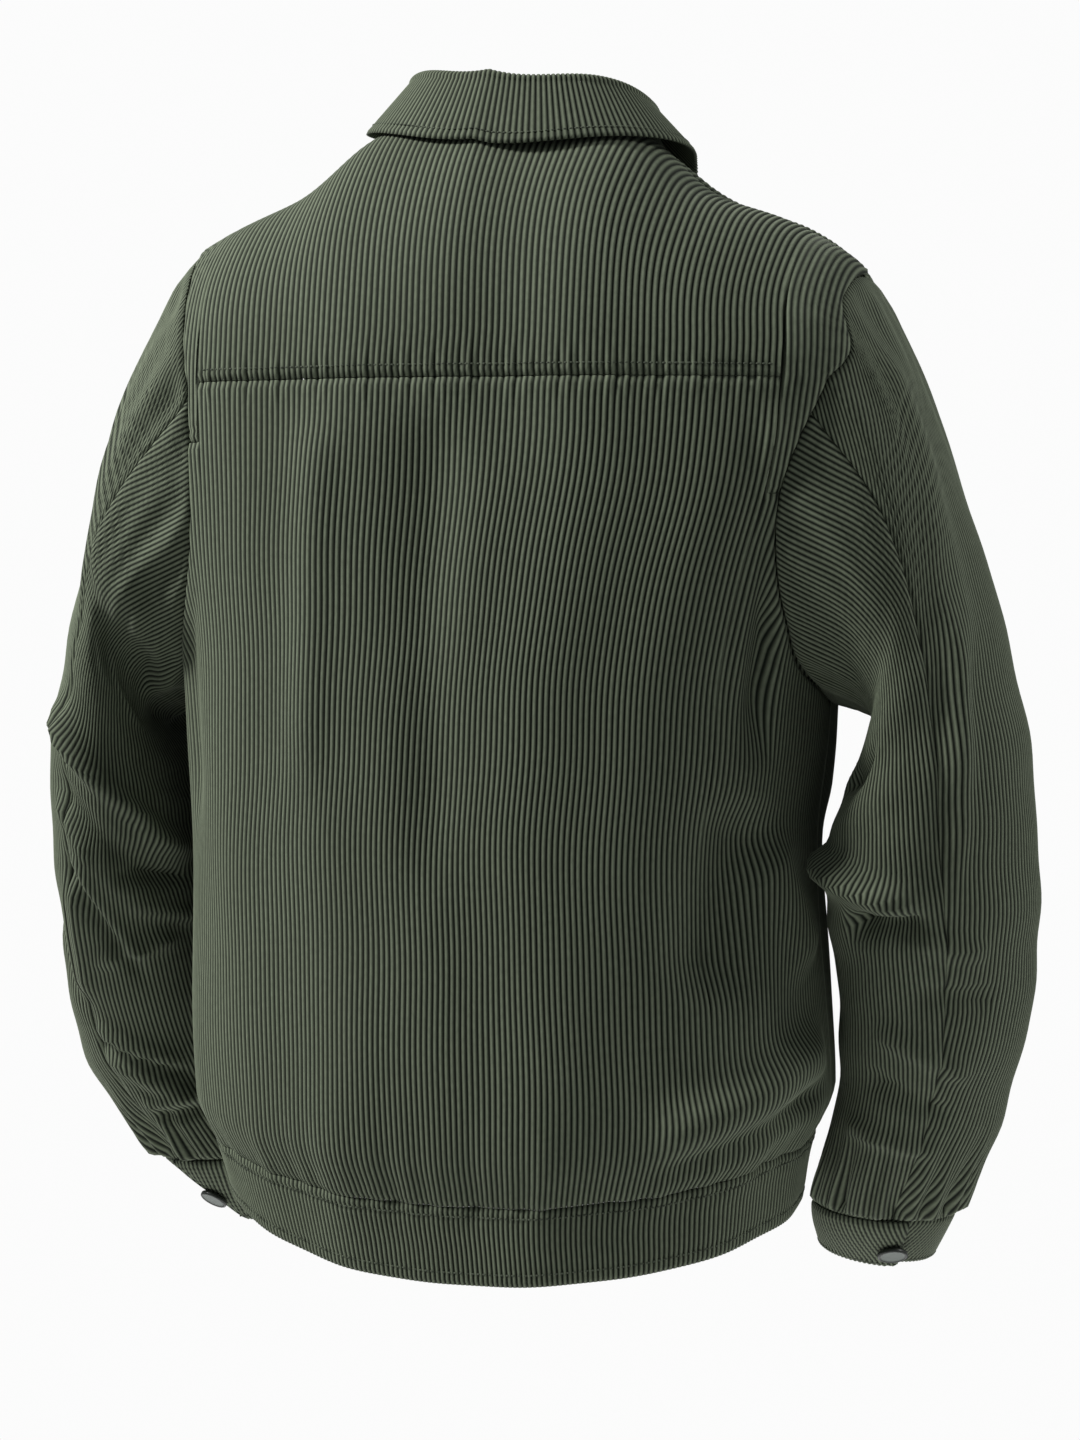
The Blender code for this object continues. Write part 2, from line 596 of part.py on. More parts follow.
def back_yoke(collection):
    """Yoke with its two side tabs, in one piece from armhole to armhole."""
    halves = {side: yoke_half(side) for side in SIDE}
    rows = max(len(halves[side][0]) for side in SIDE)
    turns, rises = [], []
    for side in ("right", "left"):
        turn, rise = halves[side]
        if len(turn) < rows:
            # the shorter tab takes one extra row, half way up its first step
            turn = np.insert(turn, 1, (turn[0] + turn[1]) / 2, axis=0)
            rise = np.insert(rise, 1, (rise[0] + rise[1]) / 2, axis=0)
        if side == "right":
            turns.append(-turn[:, :0:-1])
            rises.append(rise[:, :0:-1])
        else:
            turns.append(turn)
            rises.append(rise)
    turn = np.concatenate(turns, axis=1)
    rise = np.concatenate(rises, axis=1)
    right = np.linspace(TAB_DEGREES["right"], 0, rows)
    left = np.linspace(TAB_DEGREES["left"], 0, rows - 1)
    left = np.insert(left, 1, (left[0] + left[1]) / 2)
    every = np.arange(rows)
    holes = (("right", right, every, np.zeros(rows, int)),
             ("left", left, every, np.full(rows, turn.shape[1] - 1)))
    blend = ((TAB_COLUMNS, -1), (turn.shape[1] - 1 - TAB_COLUMNS, 1))
    middle = len(halves["right"][0][0]) - 1
    neck = ((np.full(9, rows - 1), np.arange(middle - 4, middle + 5)),)
    return torso_piece("back_yoke", turn, rise, collection, holes=holes, blend=blend, neck=neck)


def panel_half(side):
    """Turn and rise grids of half the back panel, centre back outwards to the side seam."""
    turn, top, stitched = [], [], []
    for column_turn in back_columns(side):
        turn.append(column_turn - (TAB_GAP / 4 if column_turn == YOKE_END[side] else 0))
        top.append(-SEAM)
        stitched.append(None)
    turn.append(YOKE_END[side] + TAB_GAP / 4)
    top.append(float(loop_at(side, TAB_DEGREES[side])[1]) - 2 * SEAM)
    stitched.append(None)
    for degrees in np.arange(TAB_DEGREES[side], 180.1, LOOP_STEP):
        edge_turn, edge_rise = loop_at(side, degrees)
        turn.append(min(float(edge_turn) - HOLE_GAP, 0.5 - SEAM))
        top.append(float(edge_rise) - 2 * SEAM)
        stitched.append(degrees)
    low = BAND_Z - YOKE_Z + SEAM
    rows = [np.linspace(low, t, BODY_ROWS) for t in top]
    return np.array([np.full(BODY_ROWS, t) for t in turn]).T, np.array(rows).T, stitched


def back_panel(collection):
    """Back below the yoke, between the tabs above and the side seams below."""
    right_turn, right_rise, right_marks = panel_half("right")
    left_turn, left_rise, left_marks = panel_half("left")
    turn = np.concatenate([-right_turn[:, :0:-1], left_turn], axis=1)
    rise = np.concatenate([right_rise[:, :0:-1], left_rise], axis=1)
    holes = []
    for side, marks in (("right", right_marks), ("left", left_marks)):
        found = [(k, m) for k, m in enumerate(marks) if m is not None]
        index = np.array([k for k, m in found])
        first = index + len(right_marks) - 1
        spots = len(right_marks) - 1 - index if side == "right" else first
        holes.append((side, np.array([m for k, m in found]), np.full(len(found), BODY_ROWS - 1),
                      spots))
    return torso_piece("back_panel", turn, rise, collection, holes=holes)


def front_shares(side):
    """Shares of the way from the front edge or neck to the outer edge, as on the yoke above."""
    tab = np.linspace(YOKE_END[side], float(loop_at(side, 0.0)[0]), TAB_COLUMNS + 1)
    turns = np.concatenate([back_columns(side)[4:], tab[1:]])
    return (turns - turns[0]) / (turns[-1] - turns[0])


def neck_turn_at(rise):
    """Turn of the front neck edge at a share of the way over the shoulder."""
    x = np.linspace(0, NECK_HALF, 400)
    return 1 + float(np.interp(rise, neck_rise(x, False), turn_at(x, False) - 1))


def lap_step(turn, thick):
    """The right-hand end of each lap is set in behind the left-hand end."""
    return -(thick + LAP_GAP) * ease(-0.90, -0.95, turn)


def front_degrees(side):
    """Stitched points of the front armhole, with two more where the neck edge starts."""
    neck_low = float(neck_rise(0.0, False))
    even, turn, rise = LOOP[side]
    upper = even > 270
    more = np.interp([neck_low, neck_low + NECK_STEP], rise[upper], even[upper])
    return np.sort(np.concatenate([np.arange(180 + LOOP_STEP, 360.1, LOOP_STEP), more]))


def front(side, collection):
    """Front from the side seam and armhole to just past the centre line, neck and shoulder."""
    shares = front_shares(side)
    low = BAND_Z - YOKE_Z + SEAM
    neck_low = float(neck_rise(0.0, False))
    lower = np.linspace(low, UNDERARM - 2 * SEAM, BODY_ROWS)
    turn, rise, marks = [], [], []
    for level in lower:
        turn.append(1 + FRONT_LAP + (0.5 + SEAM - 1 - FRONT_LAP) * shares)
        rise.append(np.full(len(shares), level))
        marks.append(None)
    marks[-1] = 180.0
    for degrees in front_degrees(side):
        edge_turn, level = [float(v) for v in loop_at(side, min(degrees, 359.999))]
        level = min(level, 1 - SHOULDER_GAP)
        inner = 1 + FRONT_LAP if level < neck_low - 1e-3 else neck_turn_at(level) - HOLE_GAP
        turn.append(inner + (edge_turn + HOLE_GAP - inner) * shares)
        level_down = level - (2 * SEAM if level < 0 else 0)
        rise.append(np.full(len(shares), level_down))
        marks.append(degrees)
    turn, rise = grid(turn) * SIDE[side], grid(rise)
    rows = np.array([k for k, m in enumerate(marks) if m is not None])
    holes = ((side, np.array([m for m in marks if m is not None]), rows,
              np.full(len(rows), len(shares) - 1)),)
    at_neck = np.where(rise[:, 0] > neck_low - 1e-3)[0]
    return torso_piece("front_" + side, turn, rise, collection, out=lap_step(turn, CLOTH),
                       holes=holes, neck=((at_neck, np.zeros(len(at_neck), int)),))


def sleeve_piece(name, side, start, end, collection):
    """Sleeve piece between two of its seams, from the armhole to the cuff."""
    degrees = np.arange(start, end + 0.1, LOOP_STEP)
    more = front_degrees(side) % 360
    more = np.where(more > end, more - 360, more)
    more = more[(more > start + 1) & (more < end - 1)]
    degrees = np.unique(np.round(np.concatenate([degrees, more]), 4))
    degrees[0] += SEAM_DEGREES
    degrees[-1] -= SEAM_DEGREES
    along = np.concatenate([[0.0006], np.linspace(0.05, 0.9994, SLEEVE_ROWS)])
    d, a = np.meshgrid(degrees, along)
    return wall(name, sleeve(side, d, a), sleeve(side, d, a, -CLOTH), collection)


def cuff(side, collection):
    """Cuff: one strip wound once round the wrist with its end tucked under its start."""
    degrees = np.linspace(CUFF_START, CUFF_START + 360 + CUFF_LAP, CUFF_STEPS)
    along = np.array([1.0006, 1.06, 1.12])
    d, a = np.meshgrid(degrees, along)
    out = CUFF_OUT * (1 - 2 * (d - degrees[0]) / (degrees[-1] - degrees[0]))
    return wall("cuff_" + side, sleeve(side, d, a, out), sleeve(side, d, a, out - DOUBLE),
                collection)


def waistband(collection):
    """Band from front edge to front edge, left end over right."""
    right = front_shares("right")
    left = front_shares("left")
    half = 1 + FRONT_LAP
    back = np.concatenate([-panel_half("right")[0][0][:0:-1], panel_half("left")[0][0]])
    columns = np.concatenate([-(half + (0.5 + SEAM - half) * right), back,
                              (half + (0.5 + SEAM - half) * left)[::-1]])
    rise = np.linspace(HEM_Z - YOKE_Z, BAND_Z - YOKE_Z - SEAM, 4)
    turn, rise = np.meshgrid(columns, rise)
    return torso_piece("waistband", turn, rise, collection, DOUBLE,
                       lap_step(turn, DOUBLE) + BAND_OUT)


def front_neck_degrees(side):
    """Angles round the neck of the front's stitched points, from the shoulder seam down."""
    neck_low = float(neck_rise(0.0, False))
    x = np.linspace(0, NECK_HALF, 400)
    levels = loop_at(side, np.minimum(front_degrees(side), 359.99))[1]
    levels = levels[(levels > neck_low + 1e-3) & (levels < 0.99)]
    found = 180 - np.degrees(np.arcsin(np.interp(levels, neck_rise(x, False), x) / NECK_HALF))
    return np.sort(found)


def collar_piece(collection):
    """Turn-down collar: stand, roll and fall in one strip round the neck."""
    back = [float(ring(np.array([t]), np.array([YOKE_Z]))[0][0] - RING_SHIFT[-1])
            for t in back_columns("left")[:5]]
    back = np.degrees(np.arcsin(np.clip(np.array(back) / NECK_HALF, 0, 1)))
    halves = {side: np.concatenate([back, front_neck_degrees(side), [COLLAR_END]])
              for side in SIDE}
    degrees = np.concatenate([-halves["right"][:0:-1], halves["left"]])
    share = np.concatenate([[0.0, STAND_SHARE / 2], np.linspace(STAND_SHARE, ROLL_SHARE, 4),
                            np.linspace(ROLL_SHARE, 1.0, 4)[1:]])
    d, s = np.meshgrid(degrees, share)
    return wall("collar", collar(d, s), collar(d, s, -DOUBLE), collection)


def button(name, spot, normal, collection):
    """Flat-faced round button with a softened rim, set just off the cloth."""
    mesh = bpy.data.meshes.new(name)
    shape = bmesh.new()
    bmesh.ops.create_cone(shape, cap_ends=True, segments=18, radius1=BUTTON_R, radius2=BUTTON_R,
                          depth=BUTTON_H)
    rims = [e for e in shape.edges if abs(e.verts[0].co.z - e.verts[1].co.z) < 1e-6]
    bmesh.ops.bevel(shape, geom=rims, offset=0.0008, segments=2, profile=0.5, affect="EDGES")
    shape.to_mesh(mesh)
    shape.free()
    body = bpy.data.objects.new(name, mesh)
    body.data.materials.append(finish(name, "button", 0.45))
    body.location = Vector(spot) + Vector(normal) * (BUTTON_H / 2 + BUTTON_LIFT[name.split("_")[0]])
    body.rotation_mode = "QUATERNION"
    body.rotation_quaternion = Vector((0, 0, 1)).rotation_difference(Vector(normal))
    collection.objects.link(body)


def buttons(collection):
    for side in SIDE:
        degrees, along = np.array(CUFF_BUTTON[0]), np.array(CUFF_BUTTON[1])
        start_out = CUFF_OUT * (1 - 2 * (CUFF_BUTTON[0] - CUFF_START) / (360 + CUFF_LAP))
        button("cuff_button_" + side, sleeve(side, degrees, along, start_out),
               sleeve_normal(side, degrees, along), collection)
    levels = list(np.linspace(*FRONT_RISE, FRONT_BUTTONS)) + [(HEM_Z + BAND_Z) / 2 - YOKE_Z]
    for k, level in enumerate(levels):
        turn, rise = np.array(1.0), np.array(float(level))
        lift = BAND_OUT if level < BAND_Z - YOKE_Z else 0.0
        button("front_button_%d" % (k + 1), torso(turn, rise, lift), torso_normal(turn, rise),
               collection)


def main():
    clear_scene()
    jacket = bpy.data.collections.new("corduroy_jacket")
    bpy.context.scene.collection.children.link(jacket)
    back_yoke(jacket)
    back_panel(jacket)
    for side in SIDE:
        front(side, jacket)
        sleeve_piece("sleeve_upper_" + side, side, FRONT_SEAM, BACK_SEAM, jacket)
        sleeve_piece("sleeve_under_" + side, side, BACK_SEAM, 360 + FRONT_SEAM, jacket)
        cuff(side, jacket)
    waistband(jacket)
    collar_piece(jacket)
    buttons(jacket)


main()
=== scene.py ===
"""Corduroy jacket, held up by its unseen wearer: metres, +Z up, the wearer faces -Y, left is +X."""
import bpy
import numpy as np
from math import pi, radians, cos, sin, tan
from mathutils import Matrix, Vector


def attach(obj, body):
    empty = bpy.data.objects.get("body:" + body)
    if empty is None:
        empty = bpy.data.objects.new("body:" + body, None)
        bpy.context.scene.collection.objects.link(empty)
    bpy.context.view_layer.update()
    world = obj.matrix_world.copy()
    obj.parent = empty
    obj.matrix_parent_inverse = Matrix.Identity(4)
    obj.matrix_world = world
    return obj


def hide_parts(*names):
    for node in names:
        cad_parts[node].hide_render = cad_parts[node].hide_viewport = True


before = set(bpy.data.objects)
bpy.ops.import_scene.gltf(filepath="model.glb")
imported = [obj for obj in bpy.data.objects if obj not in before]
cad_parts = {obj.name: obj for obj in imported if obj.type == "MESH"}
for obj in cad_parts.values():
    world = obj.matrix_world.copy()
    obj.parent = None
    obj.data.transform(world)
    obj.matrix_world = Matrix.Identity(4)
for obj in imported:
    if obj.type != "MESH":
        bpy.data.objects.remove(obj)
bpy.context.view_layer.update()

# ------------------------------------------------------------------ yoke and back panel
# The back is a deep yoke with a strip at each side that runs down beside the panel, and one
# wide panel.  Both are topstitched beside the seams, which pull the cloth into small puckers.
# Their form is a hollow worn torso: its levels are rounded rings, and above the yoke line columns run
# straight over the shoulder.  turn 0 is centre back, +-1 centre front, + is the wearer's left.
YOKE_Z = -0.141
BAND_Z = -0.587
HEM_Z = -0.631
UNDERARM = -0.182
CLOTH = 0.0020
DOUBLE = 0.0026
WALE = 0.0032             # from one rib of the corduroy to the next
RIB = 0.00085             # height of a rib over the groove beside it
PER_WALE = 4              # mesh columns in one rib

RING_COLUMNS = ("z", "half_width", "back_depth", "front_depth", "squareness", "shift_x")
RINGS = (
    (-0.631, 0.1700, 0.117, 0.119, 2.30, 0.002),
    (-0.587, 0.1800, 0.121, 0.123, 2.30, 0.005),
    (-0.560, 0.1900, 0.130, 0.138, 2.30, 0.0045),
    (-0.500, 0.1895, 0.134, 0.140, 2.35, 0.0060),
    (-0.400, 0.1870, 0.131, 0.136, 2.45, 0.0075),
    (-0.350, 0.1900, 0.129, 0.131, 2.50, 0.0060),
    (-0.300, 0.1940, 0.128, 0.127, 2.60, 0.004),
    (-0.200, 0.2220, 0.124, 0.124, 2.70, -0.006),
    (-0.141, 0.2320, 0.121, 0.121, 2.70, -0.009),
)
SHOULDER_COLUMNS = ("x", "z")
SHOULDER = ((0.000, 0.024), (0.078, 0.005), (0.121, -0.027), (0.173, -0.050), (0.206, -0.071),
            (0.240, -0.113))
LEAN_COLUMNS = ("z", "slope", "left_lift", "right_lift")
LEAN = (
    (-0.640, 0.000, 0.028, 0.018),
    (-0.500, -0.015, 0.004, 0.006),
    (-0.300, -0.010, 0.000, 0.000),
    (-0.150, 0.010, 0.000, 0.000),
    (-0.090, 0.036, 0.000, 0.000),
    (-0.040, 0.022, 0.000, 0.000),
    (0.040, 0.040, 0.000, 0.000),
)
LIFT_AT = 0.17            # distance from the centre at which a side's lift is measured
BACK_DIP = 0.10           # the back of the hem hangs lower than its sides
SHOULDER_ROUND = 0.92


def through(x, xs, ys):
    """Smooth curve through table rows, with level tangents at its turning points."""
    x = np.asarray(x, float)
    xs = np.asarray(xs, float)
    ys = np.asarray(ys, float)
    slope = np.diff(ys) / np.diff(xs)
    tangent = np.concatenate([slope[:1], (slope[1:] + slope[:-1]) / 2, slope[-1:]])
    tangent[1:-1][slope[1:] * slope[:-1] <= 0] = 0
    x = np.clip(x, xs[0], xs[-1])
    i = np.clip(np.searchsorted(xs, x) - 1, 0, len(xs) - 2)
    h = xs[i + 1] - xs[i]
    t = (x - xs[i]) / h
    return ((2 * t**3 - 3 * t**2 + 1) * ys[i] + (t**3 - 2 * t**2 + t) * h * tangent[i]
            + (3 * t**2 - 2 * t**3) * ys[i + 1] + (t**3 - t**2) * h * tangent[i + 1])


ARMHOLE_COLUMNS = ("rise", "left", "right")
ARMHOLE = (
    (1.00, 0.352, 0.350),
    (0.50, 0.327, 0.343),
    (0.00, 0.306, 0.335),
    (-0.035, 0.302, 0.316),
    (-0.065, 0.304, 0.307),
    (-0.100, 0.318, 0.321),
    (-0.135, 0.352, 0.357),
    (-0.165, 0.410, 0.412),
    (-0.182, 0.500, 0.500),
)
YOKE_END = {"left": 0.285, "right": 0.288}      # turn at which the yoke seam stops
TAB_DEGREES = {"left": 84.0, "right": 96.0}     # where the yoke's side tab ends, round the armhole
NECK_HALF = 0.078
NECK_BACK = 0.066
NECK_FRONT = 0.104
# largest folds of the body: ends as (turn, rise), half widths each side, height (minus = trough)
BODY_FOLDS = (
    (-0.290, -0.010, -0.322, -0.190, 0.020, 0.007, 0.007),    # right back fold edge
    (-0.322, -0.030, -0.350, -0.200, 0.008, 0.016, -0.016),   # the tuck beside it
    (0.345, -0.030, 0.350, -0.250, 0.016, 0.010, -0.006),
    (-0.338, -0.240, -0.285, -0.335, 0.020, 0.022, -0.011),   # hollow above the right hip
    (-0.370, -0.262, -0.450, -0.330, 0.018, 0.022, 0.008),
    (-0.235, -0.412, -0.455, -0.380, 0.014, 0.030, 0.013),    # cloth blousing over the band
    (-0.240, -0.430, -0.455, -0.408, 0.010, 0.009, -0.010),
    (0.148, -0.020, 0.150, -0.220, 0.013, 0.014, 0.0045),
    (0.030, -0.020, 0.000, -0.270, 0.016, 0.016, -0.0040),
    (0.560, -0.240, 0.700, -0.400, 0.018, 0.020, -0.008),
    (-0.560, -0.250, -0.680, -0.400, 0.020, 0.018, -0.008),
    (0.620, -0.050, 0.700, -0.180, 0.016, 0.020, 0.007),
    (-0.620, -0.050, -0.690, -0.200, 0.018, 0.016, 0.007),
)


def ease(a, b, x):
    t = np.clip((np.asarray(x, float) - a) / (b - a), 0, 1)
    return t * t * (3 - 2 * t)


def unit(v):
    return v / np.maximum(np.linalg.norm(v, axis=-1, keepdims=True), 1e-12)


def column(table, names, name):
    return np.array([row[names.index(name)] for row in table], float)


def ridge(u, w, u0, w0, u1, w1, width_a, width_b, height):
    """Soft ridge or trough along a line in cloth metres, fading out at both ends."""
    du, dw = u1 - u0, w1 - w0
    length = np.hypot(du, dw)
    s = ((u - u0) * du + (w - w0) * dw) / length**2
    d = ((u - u0) * dw - (w - w0) * du) / length
    width = np.where(d > 0, width_a, width_b)
    fade = ease(-0.12, 0.18, s) * ease(1.12, 0.82, s)
    return height * fade * np.exp(-(d / width)**2)


LEVELS = np.linspace(HEM_Z - 0.004, YOKE_Z, 60)
TURNS = 361


def ring_lattice():
    """x and y of every level, at even steps of cloth length from centre back to centre front."""
    z = column(RINGS, RING_COLUMNS, "z")
    names = RING_COLUMNS[1:]
    width, back, front, square, shift = [through(LEVELS, z, column(RINGS, RING_COLUMNS, n))
                                         for n in names]
    angle = np.linspace(0, pi, 721)
    c, s = np.cos(angle), np.sin(angle)
    xs, ys, half = [], [], []
    for k in range(len(LEVELS)):
        power = 2.0 / square[k]
        x = width[k] * s**power
        y = np.where(c >= 0, back[k], front[k]) * np.sign(c) * np.abs(c)**power
        length = np.concatenate([[0], np.cumsum(np.hypot(np.diff(x), np.diff(y)))])
        even = np.linspace(0, length[-1], TURNS)
        xs.append(np.interp(even, length, x))
        ys.append(np.interp(even, length, y))
        half.append(length[-1])
    return np.array(xs), np.array(ys), shift, np.array(half)


RING_X, RING_Y, RING_SHIFT, RING_HALF = ring_lattice()
HALF_ROUND = float(RING_HALF.mean())     # cloth length of one turn unit, for laying out folds


def ring(turn, z):
    """Point of the torso ring at a height: turn 0 is centre back, 1 or -1 centre front."""
    turn = (turn + 1) % 2 - 1
    side = np.where(turn < 0, -1.0, 1.0)
    level = np.clip((z - LEVELS[0]) / (LEVELS[1] - LEVELS[0]), 0, len(LEVELS) - 1.001)
    i = level.astype(int)
    f = level - i
    step = np.abs(turn) * (TURNS - 1)
    j = np.minimum(step.astype(int), TURNS - 2)
    g = step - j
    out = []
    for lattice in (RING_X, RING_Y):
        low = lattice[i, j] * (1 - g) + lattice[i, j + 1] * g
        high = lattice[i + 1, j] * (1 - g) + lattice[i + 1, j + 1] * g
        out.append(low * (1 - f) + high * f)
    shift = RING_SHIFT[i] * (1 - f) + RING_SHIFT[i + 1] * f
    return side * out[0] + shift, out[1]


def shoulder_height(x):
    return through(np.abs(x), column(SHOULDER, SHOULDER_COLUMNS, "x"),
                   column(SHOULDER, SHOULDER_COLUMNS, "z"))


def lean(p):
    """Drop the shoulders and lift the hem on the wearer's right, and let the back hem dip."""
    p = p.copy()
    z = p[..., 2].copy()
    heights = column(LEAN, LEAN_COLUMNS, "z")
    slope = through(z, heights, column(LEAN, LEAN_COLUMNS, "slope"))
    left = through(z, heights, column(LEAN, LEAN_COLUMNS, "left_lift"))
    right = through(z, heights, column(LEAN, LEAN_COLUMNS, "right_lift"))
    lift = np.where(p[..., 0] > 0, left, right) * (p[..., 0] / LIFT_AT)**2
    dip = BACK_DIP * ease(-0.38, -0.61, z) * p[..., 1]
    p[..., 2] = z + slope * p[..., 0] + lift - dip
    return p


def torso_base(turn, rise):
    """rise below 0 is metres below the yoke line; 0 to 1 goes over the top to the shoulder seam."""
    turn, rise = np.broadcast_arrays(np.asarray(turn, float), np.asarray(rise, float))
    x, y = ring(turn, YOKE_Z + np.minimum(rise, 0))
    over = np.clip(rise, 0, 1) * pi / 2
    z = np.where(rise > 0, YOKE_Z + (shoulder_height(x) - YOKE_Z) * np.sin(over)**SHOULDER_ROUND,
                 YOKE_Z + rise)
    y = np.where(rise > 0, y * np.cos(over)**SHOULDER_ROUND, y)
    return lean(np.stack([x, y, z], -1))


def torso_normal(turn, rise):
    rise = np.asarray(rise, float)
    rise = np.where(rise > 0, np.clip(rise, 0.02, 0.985), rise)
    turn = np.asarray(turn, float)
    e = 0.004
    across = torso_base(turn + e, rise) - torso_base(turn - e, rise)
    step = np.where(rise > 0, 0.012, 0.003)
    up = torso_base(turn, rise + step) - torso_base(turn, rise - step)
    return unit(np.cross(up, across))


def body_folds(turn, rise):
    """Folds of the body, fading out at the yoke line, the band and the armholes."""
    turn, rise = np.broadcast_arrays(np.asarray(turn, float), np.asarray(rise, float))
    total = np.zeros(turn.shape)
    for t0, r0, t1, r1, wa, wb, height in BODY_FOLDS:
        total = total + ridge(turn * HALF_ROUND, rise, t0 * HALF_ROUND, r0, t1 * HALF_ROUND, r1,
                              wa, wb, height)
    band = BAND_Z - YOKE_Z
    return total * ease(-0.008, -0.040, rise) * ease(band, band + 0.012, rise) * off_hole(turn, rise)


def armhole_turn(side, rise):
    rises = column(ARMHOLE, ARMHOLE_COLUMNS, "rise")[::-1]
    return through(rise, rises, column(ARMHOLE, ARMHOLE_COLUMNS, side)[::-1])


def off_hole(turn, rise):
    """0 on the armhole line, 1 a short way off it, so that folds fade out at that seam."""
    size = np.abs(turn)
    size = np.minimum(size, 2 - size)
    from_back = np.minimum(size, 1 - size)
    low = np.minimum(rise, 0)
    hole = np.where(turn > 0, armhole_turn("left", low), armhole_turn("right", low))
    beside = np.abs(hole - from_back) * HALF_ROUND
    below = np.maximum(UNDERARM - rise, 0)
    return ease(0.0, 0.016, np.hypot(beside, below))


SIDE = {"left": 1.0, "right": -1.0}


def armhole_loop(side):
    """Degrees, turn and rise round the armhole: 0 at the shoulder, 90 back, 180 underarm."""
    rise = np.concatenate([np.linspace(1, 0, 80), np.linspace(0, UNDERARM, 300)[1:]])
    turn = armhole_turn(side, rise)
    turn = np.concatenate([turn, 1 - turn[::-1][1:]])
    rise = np.concatenate([rise, rise[::-1][1:]])
    p = torso_base(turn * SIDE[side], rise)
    length = np.concatenate([[0], np.cumsum(np.linalg.norm(np.diff(p, axis=0), axis=1))])
    half = length[len(length) // 2]
    degrees = np.where(length <= half, 180 * length / half,
                       180 + 180 * (length - half) / (length[-1] - half))
    even = np.arange(0, 361.0, 1.0)
    return even, np.interp(even, degrees, turn), np.interp(even, degrees, rise)


LOOP = {side: armhole_loop(side) for side in SIDE}


def loop_at(side, degrees):
    """Turn and rise of the armhole at an angle round it."""
    turned = np.asarray(degrees, float) % 360
    even, turn, rise = LOOP[side]
    return np.interp(turned, even, turn), np.interp(turned, even, rise)


def neck_rise(x, back):
    """How far over the shoulder the neck edge lies, at a distance from the centre."""
    x = np.clip(np.abs(x), 0, NECK_HALF)
    reach = NECK_BACK if back else NECK_FRONT
    y = reach * np.sqrt(np.maximum(1 - (x / NECK_HALF)**2, 0))
    over = np.arccos(np.clip((y / ring_depth(x, back))**(1 / SHOULDER_ROUND), 0, 1))
    return over / (pi / 2)


def ring_depth(x, back):
    """Depth of the torso at the yoke line, at a distance from the centre."""
    half = TURNS // 2
    if back:
        return np.interp(x, RING_X[-1][:half + 1], RING_Y[-1][:half + 1])
    return np.interp(x, RING_X[-1][half:][::-1], -RING_Y[-1][half:][::-1])


def turn_at(x, back):
    """Turn of the column that stands at a distance from the centre at the yoke line."""
    half = TURNS // 2
    share = np.linspace(0, 1, TURNS)
    if back:
        return np.interp(np.abs(x), RING_X[-1][:half + 1], share[:half + 1])
    return np.interp(np.abs(x), RING_X[-1][half:][::-1], share[half:][::-1])


def wrap_noise(a, b, seed, rows):
    """Soft unevenness from a few crossed waves; rows gives each wave's lengths and height."""
    total = 0.0
    for k, (length_a, length_b, height) in enumerate(rows):
        shift = 1.7 * seed + 2.3 * k
        total = total + height * np.sin(2 * pi * a / length_a + shift
                                        + 0.8 * np.sin(2 * pi * b / length_b + 1.3 * shift))
    return total


def lengths(grid, axis):
    """Cloth length along a grid's rows or columns, from its start."""
    step = np.linalg.norm(np.diff(grid, axis=axis), axis=-1)
    pad = [(0, 0), (0, 0)]
    pad[axis] = (1, 0)
    return np.cumsum(np.pad(step, pad), axis=axis)


def to_edges(grid):
    """Distance of each point from the first row, last row, first column and last column."""
    up, across = lengths(grid, 0), lengths(grid, 1)
    return up, up[-1:] - up, across, across[:, -1:] - across


def ribs(count):
    """Height of the ribs at a count of wales: 1 on a rib, 0 in the groove between two."""
    return 1 - np.abs(2 * (count % 1) - 1)**2.4


def dip(distance, at, width, depth):
    return -depth * np.exp(-((distance - at) / width)**2)


def shell(name, outer, inner, uv):
    """Thin closed shell of cloth: a finely ribbed outer skin and a plainer inner one."""
    rows, cols = outer.shape[:2]
    few = (cols - 1) // PER_WALE + 1
    points = np.concatenate([outer.reshape(-1, 3), inner[:, ::PER_WALE].reshape(-1, 3)])
    top = np.arange(rows * cols).reshape(rows, cols)
    low = rows * cols + np.arange(rows * few).reshape(rows, few)
    a = np.stack([top[:-1, :-1], top[:-1, 1:], top[1:, 1:], top[1:, :-1]], -1).reshape(-1, 4)
    b = np.stack([low[:-1, :-1], low[1:, :-1], low[1:, 1:], low[:-1, 1:]], -1).reshape(-1, 4)
    side_a = np.stack([top[:-1, 0], top[1:, 0], low[1:, 0], low[:-1, 0]], -1)
    side_b = np.stack([top[:-1, -1], low[:-1, -1], low[1:, -1], top[1:, -1]], -1)
    faces = np.concatenate([a, b, side_a, side_b]).tolist()
    for k in range(few - 1):
        first, last = k * PER_WALE, (k + 1) * PER_WALE
        faces.append([low[0, k], low[0, k + 1]] + list(top[0, first:last + 1][::-1]))
        faces.append([low[-1, k + 1], low[-1, k]] + list(top[-1, first:last + 1]))
    mesh = bpy.data.meshes.new(name)
    mesh.from_pydata(points.tolist(), [], [[int(v) for v in f] for f in faces])
    layer = mesh.uv_layers.new(name="wales")
    flat = np.concatenate([uv.reshape(-1, 2), uv[:, ::PER_WALE].reshape(-1, 2)])
    index = np.zeros(len(mesh.loops), dtype=np.int64)
    mesh.loops.foreach_get("vertex_index", index)
    layer.data.foreach_set("uv", flat[index].ravel())
    mesh.polygons.foreach_set("use_smooth", np.ones(len(mesh.polygons), dtype=bool))
    mesh.update()
    piece = bpy.data.objects.new(name, mesh)
    bpy.context.scene.collection.objects.link(piece)
    return piece


